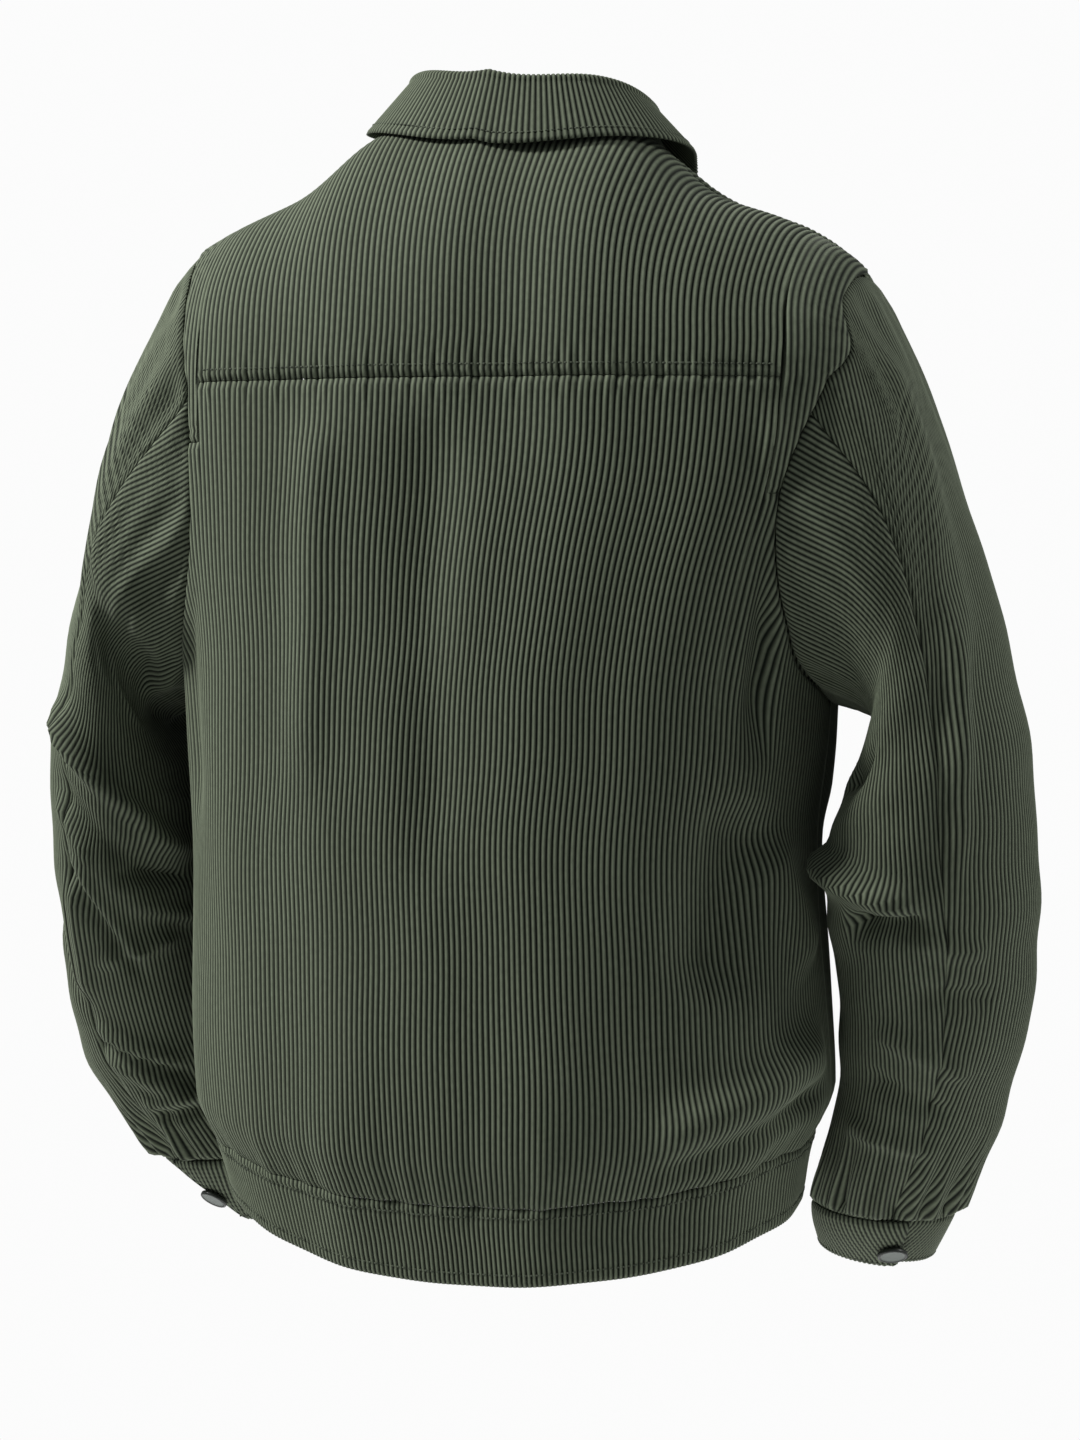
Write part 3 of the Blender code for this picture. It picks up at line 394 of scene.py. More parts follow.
class Value:
    """A shader socket that can be added to, multiplied and compared like a number."""

    def __init__(self, tree, socket):
        self.tree = tree
        self.socket = socket

    def node(self, kind, settings=None, inputs=None, output=0):
        made = self.tree.nodes.new(kind)
        for name, value in (settings or {}).items():
            setattr(made, name, value)
        for key, value in (inputs or {}).items():
            if isinstance(value, Value):
                self.tree.links.new(value.socket, made.inputs[key])
            else:
                made.inputs[key].default_value = value
        return Value(self.tree, made.outputs[output])

    def math(self, operation, *values, clamp=False):
        return self.node("ShaderNodeMath", {"operation": operation, "use_clamp": clamp},
                         dict(enumerate(values)))

    def __add__(self, other):
        return self.math("ADD", self, other)

    __radd__ = __add__

    def __sub__(self, other):
        return self.math("SUBTRACT", self, other)

    def __rsub__(self, other):
        return self.math("SUBTRACT", other, self)

    def __mul__(self, other):
        return self.math("MULTIPLY", self, other)

    __rmul__ = __mul__

    def __truediv__(self, other):
        return self.math("DIVIDE", self, other)

    def __rtruediv__(self, other):
        return self.math("DIVIDE", other, self)

    def __pow__(self, other):
        return self.math("POWER", self, other)

    def __rpow__(self, other):
        return self.math("POWER", other, self)

    def part(self, k):
        return self.node("ShaderNodeSeparateXYZ", {}, {0: self}, k)

    def mix(self, a, b):
        """Colour a where this is 0, b where it is 1."""
        return self.node("ShaderNodeMix", {"data_type": "RGBA"}, {0: self, 6: a, 7: b}, 2)


def principled(name, **plain):
    """Material whose uniform inputs are set by name; returns it, its shader and a first value."""
    material = bpy.data.materials.new(name)
    material.use_nodes = True
    tree = material.node_tree
    shader = tree.nodes["Principled BSDF"]
    for key, value in plain.items():
        shader.inputs[key.replace("_", " ")].default_value = value
    return material, shader, Value(tree, None)


# The corduroy: ribbed cotton, matt and napped, the same in every piece. Its UVs count ribs across the
# cloth and metres along it. Its colour darkens from each rib's crown down into the groove beside it
# as painted shade.
RIB_TOP = (0.182, 0.214, 0.146, 1.0)
RIB_WORN = (0.134, 0.156, 0.104, 1.0)
# painted shade: near-black colour of the groove bottoms between the ribs
GROOVE_SHADE = (0.0045, 0.0068, 0.0035, 1.0)


def corduroy():
    material, shader, start = principled("corduroy", Roughness=0.86, Sheen_Weight=0.12,
                                         Sheen_Roughness=0.45, Sheen_Tint=(0.80, 0.86, 0.70, 1.0),
                                         Specular_IOR_Level=0.18)
    tree = material.node_tree
    uv = start.node("ShaderNodeUVMap", {"uv_map": "wales"})
    count, along = uv.part(0), uv.part(1)
    off = count.math("FRACT", count) * 2 - 1
    rib = 1 - off.math("ABSOLUTE", off) ** 2.0
    place = start.node("ShaderNodeCombineXYZ", {}, {0: count * 1.6, 1: along * 240.0})
    nap = start.node("ShaderNodeTexNoise", {}, {"Vector": place, "Scale": 1.0, "Detail": 3.0})
    wide = start.node("ShaderNodeCombineXYZ", {}, {0: count * 0.07, 1: along * 9.0})
    patch = start.node("ShaderNodeTexNoise", {}, {"Vector": wide, "Scale": 1.0, "Detail": 2.0})
    top = patch.mix(RIB_WORN, RIB_TOP)
    # painted shade on the ribs: crowns keep the cloth colour and the grooves fall to the near-black
    # groove colour; the nap streaks are the pile's own
    lit = (rib ** 2.6) * (0.66 + nap * 0.6)
    colour = lit.math("MINIMUM", lit, 1.0).mix(GROOVE_SHADE, top)
    tree.links.new(colour.socket, shader.inputs["Base Color"])
    height = rib * 0.25 + nap * 0.5
    bump = start.node("ShaderNodeBump", {}, {"Strength": 0.35, "Distance": 0.0006,
                                             "Height": height})
    tree.links.new(bump.socket, shader.inputs["Normal"])
    return material


CORDUROY = corduroy()


def finish_cloth(piece, node, flat, area):
    """Material, body and hidden stand-in of one piece of cloth."""
    if area is None:
        area = 0.96 * flat[0] * flat[1]
    piece.data.materials.append(CORDUROY)
    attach(piece, "root")
    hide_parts(node)
    return piece

WALES = HALF_ROUND / WALE            # ribs in one unit of turn
SEAM = 0.00015
TAB_GAP = 0.0034
TAB_WALES = 5
ROLLED = 0.0013                      # how far a seam edge sinks into its seam
ROLLED_OVER = 0.0035                 # over this width
STITCH_WIDTH = 0.0011
STITCH_IN = 0.0007


def body_puckers(turn, rise):
    """Small gathers along the yoke seam and the waistband seam."""
    across = turn * HALF_ROUND
    yoke = wrap_noise(across, across * 0.3, 1, ((0.0105, 0.05, 0.0004), (0.0071, 0.031, 0.0004),
                                               (0.043, 0.08, 0.0004)))
    above = np.where(rise > 0, rise * 0.20, rise)
    near_yoke = np.exp(-(above / 0.009)**2)
    band = wrap_noise(across, across * 0.4, 2, ((0.026, 0.06, 0.0011), (0.017, 0.05, 0.0008),
                                               (0.061, 0.13, 0.0012)))
    over = rise - (BAND_Z - YOKE_Z)
    near_band = np.exp(-np.abs(over) / np.where(over > 0, 0.026, 0.006))
    return yoke * near_yoke + 0.55 * band * near_band


def waver(turn, rise):
    """Small sideways wandering of the ribs, in turn units."""
    across = turn * HALF_ROUND
    up = np.where(rise > 0, rise * 0.2, rise)
    return wrap_noise(up, across, 9, ((0.083, 0.13, 0.0003), (0.171, 0.23, 0.0008))) / HALF_ROUND


def drift(turn, rise):
    """Slow unevenness of worn cloth."""
    across = turn * HALF_ROUND
    up = np.where(rise > 0, rise * 0.2, rise)
    return wrap_noise(across, up, 3, ((0.11, 0.37, 0.0010), (0.063, 0.29, 0.0006))) \
        + wrap_noise(up, across, 5, ((0.19, 0.21, 0.0008),))


def body_grid(turn, rise, thick, out=0.0, stitched=(), rolled=(0, 1, 2, 3)):
    """Outer skin, inner skin and UVs of a piece of the body."""
    turn, rise = np.broadcast_arrays(np.asarray(turn, float), np.asarray(rise, float))
    count = turn * WALES
    inside = np.min(to_edges(torso_base(turn, rise)), axis=0)
    turn = turn + waver(turn, rise) * ease(0.0, 0.03, inside)
    base = torso_base(turn, rise)
    normal = torso_normal(turn, rise)
    height = body_folds(turn, rise) + body_puckers(turn, rise) + drift(turn, rise) + out
    smooth = base + normal * height[..., None]
    edges = to_edges(base)
    detail = RIB * (ribs(count) - 0.7)
    for side in rolled:
        detail = detail - ROLLED * (1 - ease(0.0, ROLLED_OVER, edges[side]))
    for side, at in stitched:
        detail = detail + dip(edges[side], at, STITCH_WIDTH, STITCH_IN)
    inner = smooth - normal * thick
    outer = smooth + normal * detail[..., None]
    return outer, inner, np.stack([count, edges[0]], -1), smooth, edges, normal


STITCHES = []            # each row of stitches: its points and the directions out of the cloth


def stitch_line(grid, edges, normal, side, at, start=0, stop=None):
    """Keeps the line on a grid that runs at a distance from one of its edges."""
    distance = edges[side]
    points, outs = [], []
    lanes = range(grid.shape[1]) if side < 2 else range(grid.shape[0])
    for lane in list(lanes)[start:stop]:
        cut = (slice(None), lane) if side < 2 else (lane, slice(None))
        d, p, n = distance[cut], grid[cut], normal[cut]
        if d.max() < at:
            continue
        order = np.argsort(d)
        points.append([np.interp(at, d[order], p[order, k]) for k in range(3)])
        outs.append([np.interp(at, d[order], n[order, k]) for k in range(3)])
    STITCHES.append((np.array(points), unit(np.array(outs))))


def columns_to(side, limit):
    """Whole numbers of columns from centre back to a turn."""
    return int(round(limit[side] * WALES * PER_WALE))


def yoke_grid():
    rows = 56
    ends = {side: columns_to(side, YOKE_END) for side in SIDE}
    ends["right"] += (-(ends["left"] + ends["right"] + 2)) % PER_WALE
    turns, rises = [], []
    for side in ("right", "left"):
        sign = SIDE[side]
        body_turn = np.arange(0, ends[side] + 1) / (WALES * PER_WALE)
        x = np.abs(ring(body_turn, np.full(body_turn.shape, YOKE_Z))[0] - RING_SHIFT[-1])
        over_neck = x < NECK_HALF
        top = np.where(over_neck, neck_rise(np.minimum(x, NECK_HALF), True) - 0.0015, 0.9988)
        share = np.linspace(0, 1, rows)[:, None]
        main_turn = np.broadcast_to(body_turn, (rows, len(body_turn)))
        main_rise = 0.0009 + (np.minimum(top, 0.9988) - 0.0009) * share
        degrees = np.linspace(TAB_DEGREES[side], 0.001, rows)
        edge_turn, edge_rise = loop_at(side, degrees)
        strip = np.linspace(0, 1, TAB_WALES * PER_WALE + 1)[None, :]
        start = body_turn[-1] + TAB_GAP
        tab_turn = start + (edge_turn[:, None] - 0.0005 - start) * strip
        tab_rise = np.broadcast_to(np.minimum(edge_rise, 0.9988)[:, None], tab_turn.shape)
        turn = np.concatenate([main_turn, tab_turn], 1)
        rise = np.concatenate([main_rise, tab_rise], 1)
        if sign < 0:
            turns.append(-turn[:, :0:-1])
            rises.append(rise[:, :0:-1])
        else:
            turns.append(turn)
            rises.append(rise)
    return np.concatenate(turns, 1), np.concatenate(rises, 1), ends


yoke_turn, yoke_rise, YOKE_COLUMNS = yoke_grid()
outer, inner, uv, smooth, edges, normal = body_grid(yoke_turn, yoke_rise, CLOTH,
                                                    stitched=((0, 0.0065),))
yoke = finish_cloth(shell("back_yoke_cloth", outer, inner, uv), "back_yoke", (0.44, 0.22), 0.074)
inside = TAB_WALES * PER_WALE + 4
stitch_line(smooth, edges, normal, 0, 0.0065, inside, -inside)


def panel_grid():
    rows = 108
    low = BAND_Z - YOKE_Z + SEAM
    turns, tops = [], []
    for side in ("right", "left"):
        last = int((0.5 - 0.0004) * WALES * PER_WALE)
        turn = np.arange(0, last + 1) / (WALES * PER_WALE)
        turn[-1] = 0.5 - SEAM
        even, loop_turn, loop_rise = LOOP[side]
        below = (even >= TAB_DEGREES[side]) & (even <= 180)
        tab_end = float(loop_at(side, TAB_DEGREES[side])[1])
        top = np.interp(turn, loop_turn[below], loop_rise[below]) - 2 * SEAM
        top = np.where(turn < loop_turn[below][0], tab_end - 2 * SEAM, top)
        top = np.where(np.arange(len(turn)) <= YOKE_COLUMNS[side], -SEAM, top)
        if side == "right":
            turns.append(-turn[:0:-1])
            tops.append(top[:0:-1])
        else:
            turns.append(turn)
            tops.append(top)
    turn, top = np.concatenate(turns), np.concatenate(tops)
    extra = (len(turn) - 1) % PER_WALE
    turn, top = turn[extra:], top[extra:]
    turn[0] = -(0.5 - SEAM)
    share = np.linspace(0, 1, rows)[:, None]
    return np.broadcast_to(turn, (rows, len(turn))), low + (top - low) * share


panel_turn, panel_rise = panel_grid()
outer, inner, uv, smooth, edges, normal = body_grid(panel_turn, panel_rise, CLOTH,
                                                    rolled=(0, 1))
panel = finish_cloth(shell("back_panel_cloth", outer, inner, uv), "back_panel", (0.52, 0.46), 0.210)

# ------------------------------------------------------------------ fronts
# Each front runs from the side seam and armhole to just past the centre line, left over right.
LAP_GAP = 0.0012
FRONT_LAP = 0.034


def lap_step(turn, thick):
    """The right-hand end of each lap is set in behind the left-hand end."""
    return -(thick + LAP_GAP) * ease(-0.90, -0.95, turn)


def neck_turn_at(rise):
    x = np.linspace(0, NECK_HALF, 400)
    return 1 + np.interp(rise, neck_rise(x, False), turn_at(x, False) - 1)


def front_grid(side):
    low = BAND_Z - YOKE_Z + SEAM
    neck_low = float(neck_rise(0.0, False))
    levels = np.concatenate([np.linspace(low, UNDERARM, 48, endpoint=False),
                             np.linspace(UNDERARM, 0, 28, endpoint=False),
                             np.linspace(0, 0.9988, 24)])
    even, loop_turn, loop_rise = LOOP[side]
    front = even >= 180
    outer_turn = np.where(levels < UNDERARM, 0.5 + SEAM,
                          np.interp(levels, loop_rise[front], loop_turn[front]) + 0.0005)
    inner_turn = np.where(levels < neck_low, 1 + FRONT_LAP, neck_turn_at(levels) - 0.0006)
    cells = int(round((0.5 + FRONT_LAP) * WALES)) * PER_WALE
    share = np.linspace(0, 1, cells + 1)[None, :]
    turn = outer_turn[:, None] + (inner_turn - outer_turn)[:, None] * share
    return turn * SIDE[side], np.broadcast_to(levels[:, None], turn.shape)


for side in SIDE:
    turn, rise = front_grid(side)
    outer, inner, uv, smooth, edges, normal = body_grid(
        turn, rise, CLOTH, out=lap_step(turn, CLOTH), stitched=((3, 0.0065), (3, 0.034)))
    finish_cloth(shell("front_cloth_" + side, outer, inner, uv), "front_" + side,
                 (0.29, 0.61), 0.140)
    if side == "left":
        for at in (0.0065, 0.034):
            stitch_line(smooth, edges, normal, 3, at, 4, 84)

# ------------------------------------------------------------------ waistband
# One band of double cloth round the hem, topstitched along both edges.
turn = np.linspace(-(1 + FRONT_LAP), 1 + FRONT_LAP, int(2.068 * WALES) * PER_WALE + 1)
rise = np.linspace(HEM_Z - YOKE_Z, BAND_Z - YOKE_Z - SEAM, 17)
turn, rise = np.meshgrid(turn, rise)
outer, inner, uv, smooth, edges, normal = body_grid(
    turn, rise, DOUBLE, out=lap_step(turn, DOUBLE) + 0.0003,
    stitched=((0, 0.0070), (1, 0.0050)))
finish_cloth(shell("waistband_cloth", outer, inner, uv), "waistband", (1.04, 0.044), None)
stitch_line(smooth, edges, normal, 0, 0.0070)
stitch_line(smooth, edges, normal, 1, 0.0050)

# ------------------------------------------------------------------ sleeves
# Two-piece sleeves, full at the elbow, gathered into the armhole and into the cuff.
SLEEVE_COLUMNS = ("along", "outer_x", "outer_z", "inner_x", "inner_z", "middle_y", "half_depth",
                  "left_outer", "left_inner", "left_down")
SLEEVE = (
    (0.00, 0.203, -0.080, 0.200, -0.322, 0.000, 0.088, 0.000, 0.000, 0.000),
    (0.12, 0.238, -0.147, 0.224, -0.334, 0.000, 0.086, 0.004, 0.002, 0.000),
    (0.25, 0.270, -0.230, 0.212, -0.352, 0.001, 0.082, -0.011, 0.004, 0.000),
    (0.40, 0.296, -0.325, 0.193, -0.385, 0.002, 0.078, -0.011, 0.010, 0.000),
    (0.55, 0.304, -0.410, 0.186, -0.430, -0.004, 0.074, -0.013, 0.016, 0.000),
    (0.70, 0.298, -0.485, 0.187, -0.487, -0.034, 0.070, 0.003, 0.019, 0.000),
    (0.85, 0.277, -0.562, 0.180, -0.555, -0.064, 0.062, 0.024, 0.019, 0.004),
    (1.00, 0.246, -0.628, 0.160, -0.622, -0.090, 0.050, 0.023, 0.016, 0.010),
    (1.12, 0.226, -0.664, 0.157, -0.656, -0.124, 0.041, 0.002, 0.008, 0.002),
)
# largest folds of the sleeves: side, ends as (degrees, along), half widths each side, height
SLEEVE_FOLDS = (
    ("right", 165.0, 0.470, 86.0, 0.575, 0.022, 0.010, 0.012),    # cloth hanging over the elbow
    ("right", 128.0, 0.590, 84.0, 0.612, 0.012, 0.016, -0.012),   # the hollow under it
    ("right", 150.0, 0.330, 118.0, 0.360, 0.014, 0.016, -0.008),
    ("right", 25.0, 0.060, 50.0, 0.250, 0.012, 0.014, 0.005),
    ("right", 50.0, 0.250, 68.0, 0.450, 0.012, 0.014, 0.006),
    ("left", 80.0, 0.170, 125.0, 0.070, 0.012, 0.014, 0.007),
    ("left", 100.0, 0.200, 150.0, 0.060, 0.012, 0.016, -0.010),
    ("left", 60.0, 0.365, 160.0, 0.505, 0.016, 0.014, 0.010),
    ("left", 62.0, 0.450, 150.0, 0.565, 0.014, 0.014, -0.007),
    ("left", 74.0, 0.580, 72.0, 0.740, 0.014, 0.014, 0.006),
    ("left", 78.0, 0.820, 122.0, 0.900, 0.012, 0.012, 0.006),
    ("left", -40.0, 0.560, -110.0, 0.600, 0.014, 0.016, 0.009),
    ("right", -40.0, 0.600, -110.0, 0.640, 0.014, 0.016, 0.009),
)
SLEEVE_DEGREE = 0.0012
SLEEVE_LENGTH = 0.62
BACK_SEAM = 72.0
FRONT_SEAM = -132.0


def sleeve_tube(side, degrees, along):
    """Plain tube of the sleeve, before its head is drawn to the armhole."""
    t = np.clip(along, 0, 1.12)
    names = SLEEVE_COLUMNS[1:]
    shares = column(SLEEVE, SLEEVE_COLUMNS, "along")
    ox, oz, ix, iz, my, depth, more_out, more_in, lower = [
        through(t, shares, column(SLEEVE, SLEEVE_COLUMNS, n)) for n in names]
    if side == "left":
        ox, ix = ox + more_out, ix + more_in
        oz, iz = oz + lower, iz + lower
    a = np.radians(degrees)
    c, s = np.cos(a), np.sin(a)
    x = (ox + ix) / 2 + c * (ox - ix) / 2
    z = (oz + iz) / 2 + c * (oz - iz) / 2
    return np.stack([SIDE[side] * x, my + s * depth, z], -1)


def sleeve_base(side, degrees, along):
    degrees, along = np.broadcast_arrays(np.asarray(degrees, float), np.asarray(along, float))
    tube = sleeve_tube(side, degrees, along)
    turn, rise = loop_at(side, degrees)
    hole = torso_base(SIDE[side] * turn, rise)
    pull = 1 - ease(0.0, 0.24, along)
    return tube + (hole - sleeve_tube(side, degrees, np.zeros_like(along))) * pull[..., None]


def sleeve_normal(side, degrees, along):
    degrees, along = np.broadcast_arrays(np.asarray(degrees, float), np.asarray(along, float))
    e = 2.0
    a = np.clip(along, 0.015, 1.115)
    across = sleeve_base(side, degrees + e, a) - sleeve_base(side, degrees - e, a)
    down = sleeve_base(side, degrees, a + 0.012) - sleeve_base(side, degrees, a - 0.012)
    return unit(np.cross(down, across)) * SIDE[side]


def sleeve_folds(side, degrees, along):
    total = np.zeros(np.broadcast(degrees, along).shape)
    for name, d0, a0, d1, a1, wa, wb, height in SLEEVE_FOLDS:
        if name == side:
            turned = (np.asarray(degrees) + 180) % 360 - 180
            total = total + ridge(turned * SLEEVE_DEGREE, along * SLEEVE_LENGTH,
                                  d0 * SLEEVE_DEGREE, a0 * SLEEVE_LENGTH, d1 * SLEEVE_DEGREE,
                                  a1 * SLEEVE_LENGTH, wa, wb, height)
    return total * ease(0.02, 0.10, along) * ease(0.995, 0.93, along)


def hole_direction(side, degrees):
    """Shared direction of the wall at the armhole, half way between body and sleeve."""
    turn, rise = loop_at(side, degrees)
    return unit(torso_normal(SIDE[side] * turn, rise)
                + sleeve_normal(side, degrees, np.full_like(turn, 0.02)))


# smaller creases of the sleeves: ends as (degrees, along), half widths each side, height
CREASES = {
    "left": (
        (63.0, 0.375, 138.0, 0.450, 0.008, 0.007, 0.0050),
        (66.0, 0.400, 132.0, 0.480, 0.006, 0.008, -0.0040),
        (62.0, 0.480, 92.0, 0.540, 0.007, 0.006, 0.0035),
        (70.0, 0.545, 118.0, 0.705, 0.006, 0.007, -0.0060),
        (76.0, 0.535, 120.0, 0.680, 0.006, 0.007, 0.0030),
        (88.0, 0.690, 146.0, 0.650, 0.007, 0.006, 0.0050),
        (110.0, 0.560, 160.0, 0.548, 0.007, 0.006, -0.0060),
        (118.0, 0.600, 165.0, 0.620, 0.009, 0.008, 0.0040),
        (74.0, 0.785, 124.0, 0.838, 0.007, 0.006, 0.0052),
        (74.0, 0.808, 128.0, 0.862, 0.005, 0.006, -0.0055),
        (84.0, 0.900, 124.0, 0.888, 0.006, 0.006, 0.0046),
        (84.0, 0.922, 124.0, 0.912, 0.005, 0.005, -0.0044),
        (30.0, 0.620, 72.0, 0.760, 0.010, 0.008, -0.0036),
        (88.0, 0.120, 100.0, 0.250, 0.008, 0.009, -0.0040),
        (60.0, 0.060, 66.0, 0.250, 0.007, 0.009, 0.0030),
        (110.0, 0.120, 140.0, 0.240, 0.008, 0.008, 0.0040),
        (-30.0, 0.400, -90.0, 0.480, 0.012, 0.010, -0.0050),
        (-50.0, 0.740, -110.0, 0.800, 0.010, 0.009, 0.0045),
    ),
    "right": (
        (52.0, 0.300, 66.0, 0.560, 0.009, 0.007, 0.0040),
        (62.0, 0.300, 76.0, 0.560, 0.007, 0.010, -0.0036),
        (150.0, 0.500, 92.0, 0.560, 0.008, 0.006, 0.0042),
        (126.0, 0.590, 82.0, 0.606, 0.006, 0.008, -0.0060),
        (50.0, 0.640, 96.0, 0.612, 0.008, 0.008, 0.0044),
        (44.0, 0.700, 90.0, 0.690, 0.007, 0.008, -0.0040),
        (52.0, 0.790, 112.0, 0.740, 0.008, 0.007, 0.0046),
        (60.0, 0.840, 118.0, 0.800, 0.006, 0.006, -0.0044),
        (64.0, 0.890, 130.0, 0.870, 0.006, 0.006, 0.0040),
        (28.0, 0.120, 44.0, 0.330, 0.008, 0.010, 0.0026),
        (-30.0, 0.380, -90.0, 0.460, 0.012, 0.010, -0.0050),
        (-50.0, 0.720, -110.0, 0.780, 0.010, 0.009, 0.0045),
    ),
}


def sleeve_creases(side, degrees, along):
    turned = (degrees + 180) % 360 - 180
    total = 0.0
    for d0, a0, d1, a1, wide_a, wide_b, height in CREASES[side]:
        total = total + ridge(turned * SLEEVE_DEGREE, along * SLEEVE_LENGTH, d0 * SLEEVE_DEGREE,
                              a0 * SLEEVE_LENGTH, d1 * SLEEVE_DEGREE, a1 * SLEEVE_LENGTH,
                              wide_a, wide_b, height)
    return total


def sleeve_gathers(side, degrees, along):
    """Gathers that run out from the armhole and in to the cuff, and slack above the elbow."""
    round_m = degrees * SLEEVE_DEGREE
    down = along * SLEEVE_LENGTH
    seed = 4 if side == "left" else 7
    size = 1.5 if side == "left" else 0.8
    head = wrap_noise(round_m, down, seed, ((0.030, 0.14, 0.0010), (0.019, 0.10, 0.0008)))
    at_head = ease(0.0, 0.03, along) * np.exp(-(along / 0.13)**2)
    wrist = wrap_noise(round_m * 1.3, down, seed + 2, ((0.034, 0.16, 0.0026), (0.021, 0.11, 0.0016),
                                                      (0.075, 0.2, 0.0022)))
    at_wrist = np.exp(-((1 - along) / 0.085)**2) * ease(1.0, 0.985, along)
    slack = wrap_noise(down, round_m, seed + 5, ((0.092, 0.13, 0.0007), (0.055, 0.16, 0.0004)))
    slack = slack + sleeve_creases(side, degrees, along)
    return size * head * at_head + wrist * at_wrist + slack * ease(0.1, 0.3, along) \
        * ease(1.0, 0.9, along)


def sleeve_grid(side, degrees, along, thick, out=0.0, stitched=(), middle=0.0, gathers=True):
    degrees, along = np.meshgrid(degrees, along)
    base = sleeve_base(side, degrees, along)
    normal = sleeve_normal(side, degrees, along)
    near = (1 - ease(0.0, 0.05, along))[..., None]
    normal = unit(normal * (1 - near) + hole_direction(side, degrees) * near)
    height = sleeve_folds(side, degrees, along) + out
    if gathers:
        height = height + sleeve_gathers(side, degrees, along)
    smooth = base + normal * height[..., None]
    edges = to_edges(base)
    per_degree = edges[2][:, -1] / (degrees[0, -1] - degrees[0, 0])
    per_degree = through(along[:, 0], along[::8, 0], per_degree[::8]) if len(along) > 40 \
        else per_degree
    count = (degrees - middle) * per_degree[:, None] / WALE
    detail = RIB * (ribs(count) - 0.7)
    for edge in range(4):
        detail = detail - ROLLED * (1 - ease(0.0, ROLLED_OVER, edges[edge]))
    for edge, at in stitched:
        detail = detail + dip(edges[edge], at, STITCH_WIDTH, STITCH_IN)
    inner = smooth - normal * thick
    outer = smooth + normal * detail[..., None]
    return outer, inner, np.stack([count, edges[0]], -1), smooth, edges, normal


for side in SIDE:
    for part, start, end, wales in (("upper", FRONT_SEAM, BACK_SEAM, 95),
                                    ("under", BACK_SEAM, 360 + FRONT_SEAM, 72)):
        degrees = np.linspace(start + 0.12, end - 0.12, wales * PER_WALE + 1)
        along = np.concatenate([np.linspace(0.0008, 0.10, 14, endpoint=False),
                                np.linspace(0.10, 0.88, 66, endpoint=False),
                                np.linspace(0.88, 0.9992, 18)])
        outer, inner, uv, smooth, edges, normal = sleeve_grid(side, degrees, along, CLOTH,
                                                              middle=(start + end) / 2)
        name = "sleeve_%s_%s" % (part, side)
        finish_cloth(shell(name + "_cloth", outer, inner, uv), name, (0.27, 0.57)
                     if part == "upper" else (0.20, 0.42), 0.127 if part == "upper" else 0.068)

# ------------------------------------------------------------------ cuffs
# A strip wound once round the wrist, its end tucked under its start, which carries the button.
CUFF_START = 58.0
CUFF_LAP = 26.0
CUFF_OUT = 0.0019
for side in SIDE:
    degrees = np.linspace(CUFF_START, CUFF_START + 360 + CUFF_LAP, 98 * PER_WALE + 1)
    along = np.linspace(1.0006, 1.12, 15)
    out = CUFF_OUT * (1 - 2 * (degrees - CUFF_START) / (360 + CUFF_LAP))
    outer, inner, uv, smooth, edges, normal = sleeve_grid(
        side, degrees, along, DOUBLE, out=out[None, :], middle=CUFF_START + 180, gathers=False,
        stitched=((1, 0.0060), (2, 0.0050)))
    finish_cloth(shell("cuff_cloth_" + side, outer, inner, uv), "cuff_" + side,
                 (0.28, 0.055), None)
    stitch_line(smooth, edges, normal, 1, 0.0060)

# ------------------------------------------------------------------ collar
# A turn-down collar: the stand rises inside the neck, rolls over and falls back on the yoke.
COLLAR_COLUMNS = ("degrees", "roll_up", "roll_in", "edge_out", "edge_up")
COLLAR = (
    (0.0, 0.035, 0.010, 0.013, -0.008),
    (45.0, 0.034, 0.010, 0.018, -0.004),
    (72.0, 0.031, 0.009, 0.021, -0.002),
    (108.0, 0.027, 0.009, 0.017, -0.0005),
    (132.0, 0.025, 0.006, 0.023, -0.006),
    (160.0, 0.018, 0.003, 0.027, -0.034),
    (176.0, 0.012, 0.002, 0.021, -0.050),
)
COLLAR_END = 176.0
COLLAR_WALES = 150
COLLAR_ROLLED = 0.0009
FOOT_IN = -0.0006
FOOT_DOWN = 0.0005
ROLL_R = 0.0042
STAND_SHARE = 0.40
ROLL_SHARE = 0.52


def neck_point(degrees):
    """Neck edge: 0 is centre back, +-180 centre front, + towards the wearer's left."""
    a = np.radians(degrees)
    x = NECK_HALF * np.sin(a)
    back = np.cos(a) >= 0
    rise = np.where(back, neck_rise(x, True), neck_rise(x, False))
    turn = np.where(back, turn_at(x, True), turn_at(x, False)) * np.where(a < 0, -1, 1)
    return torso_base(turn, rise)


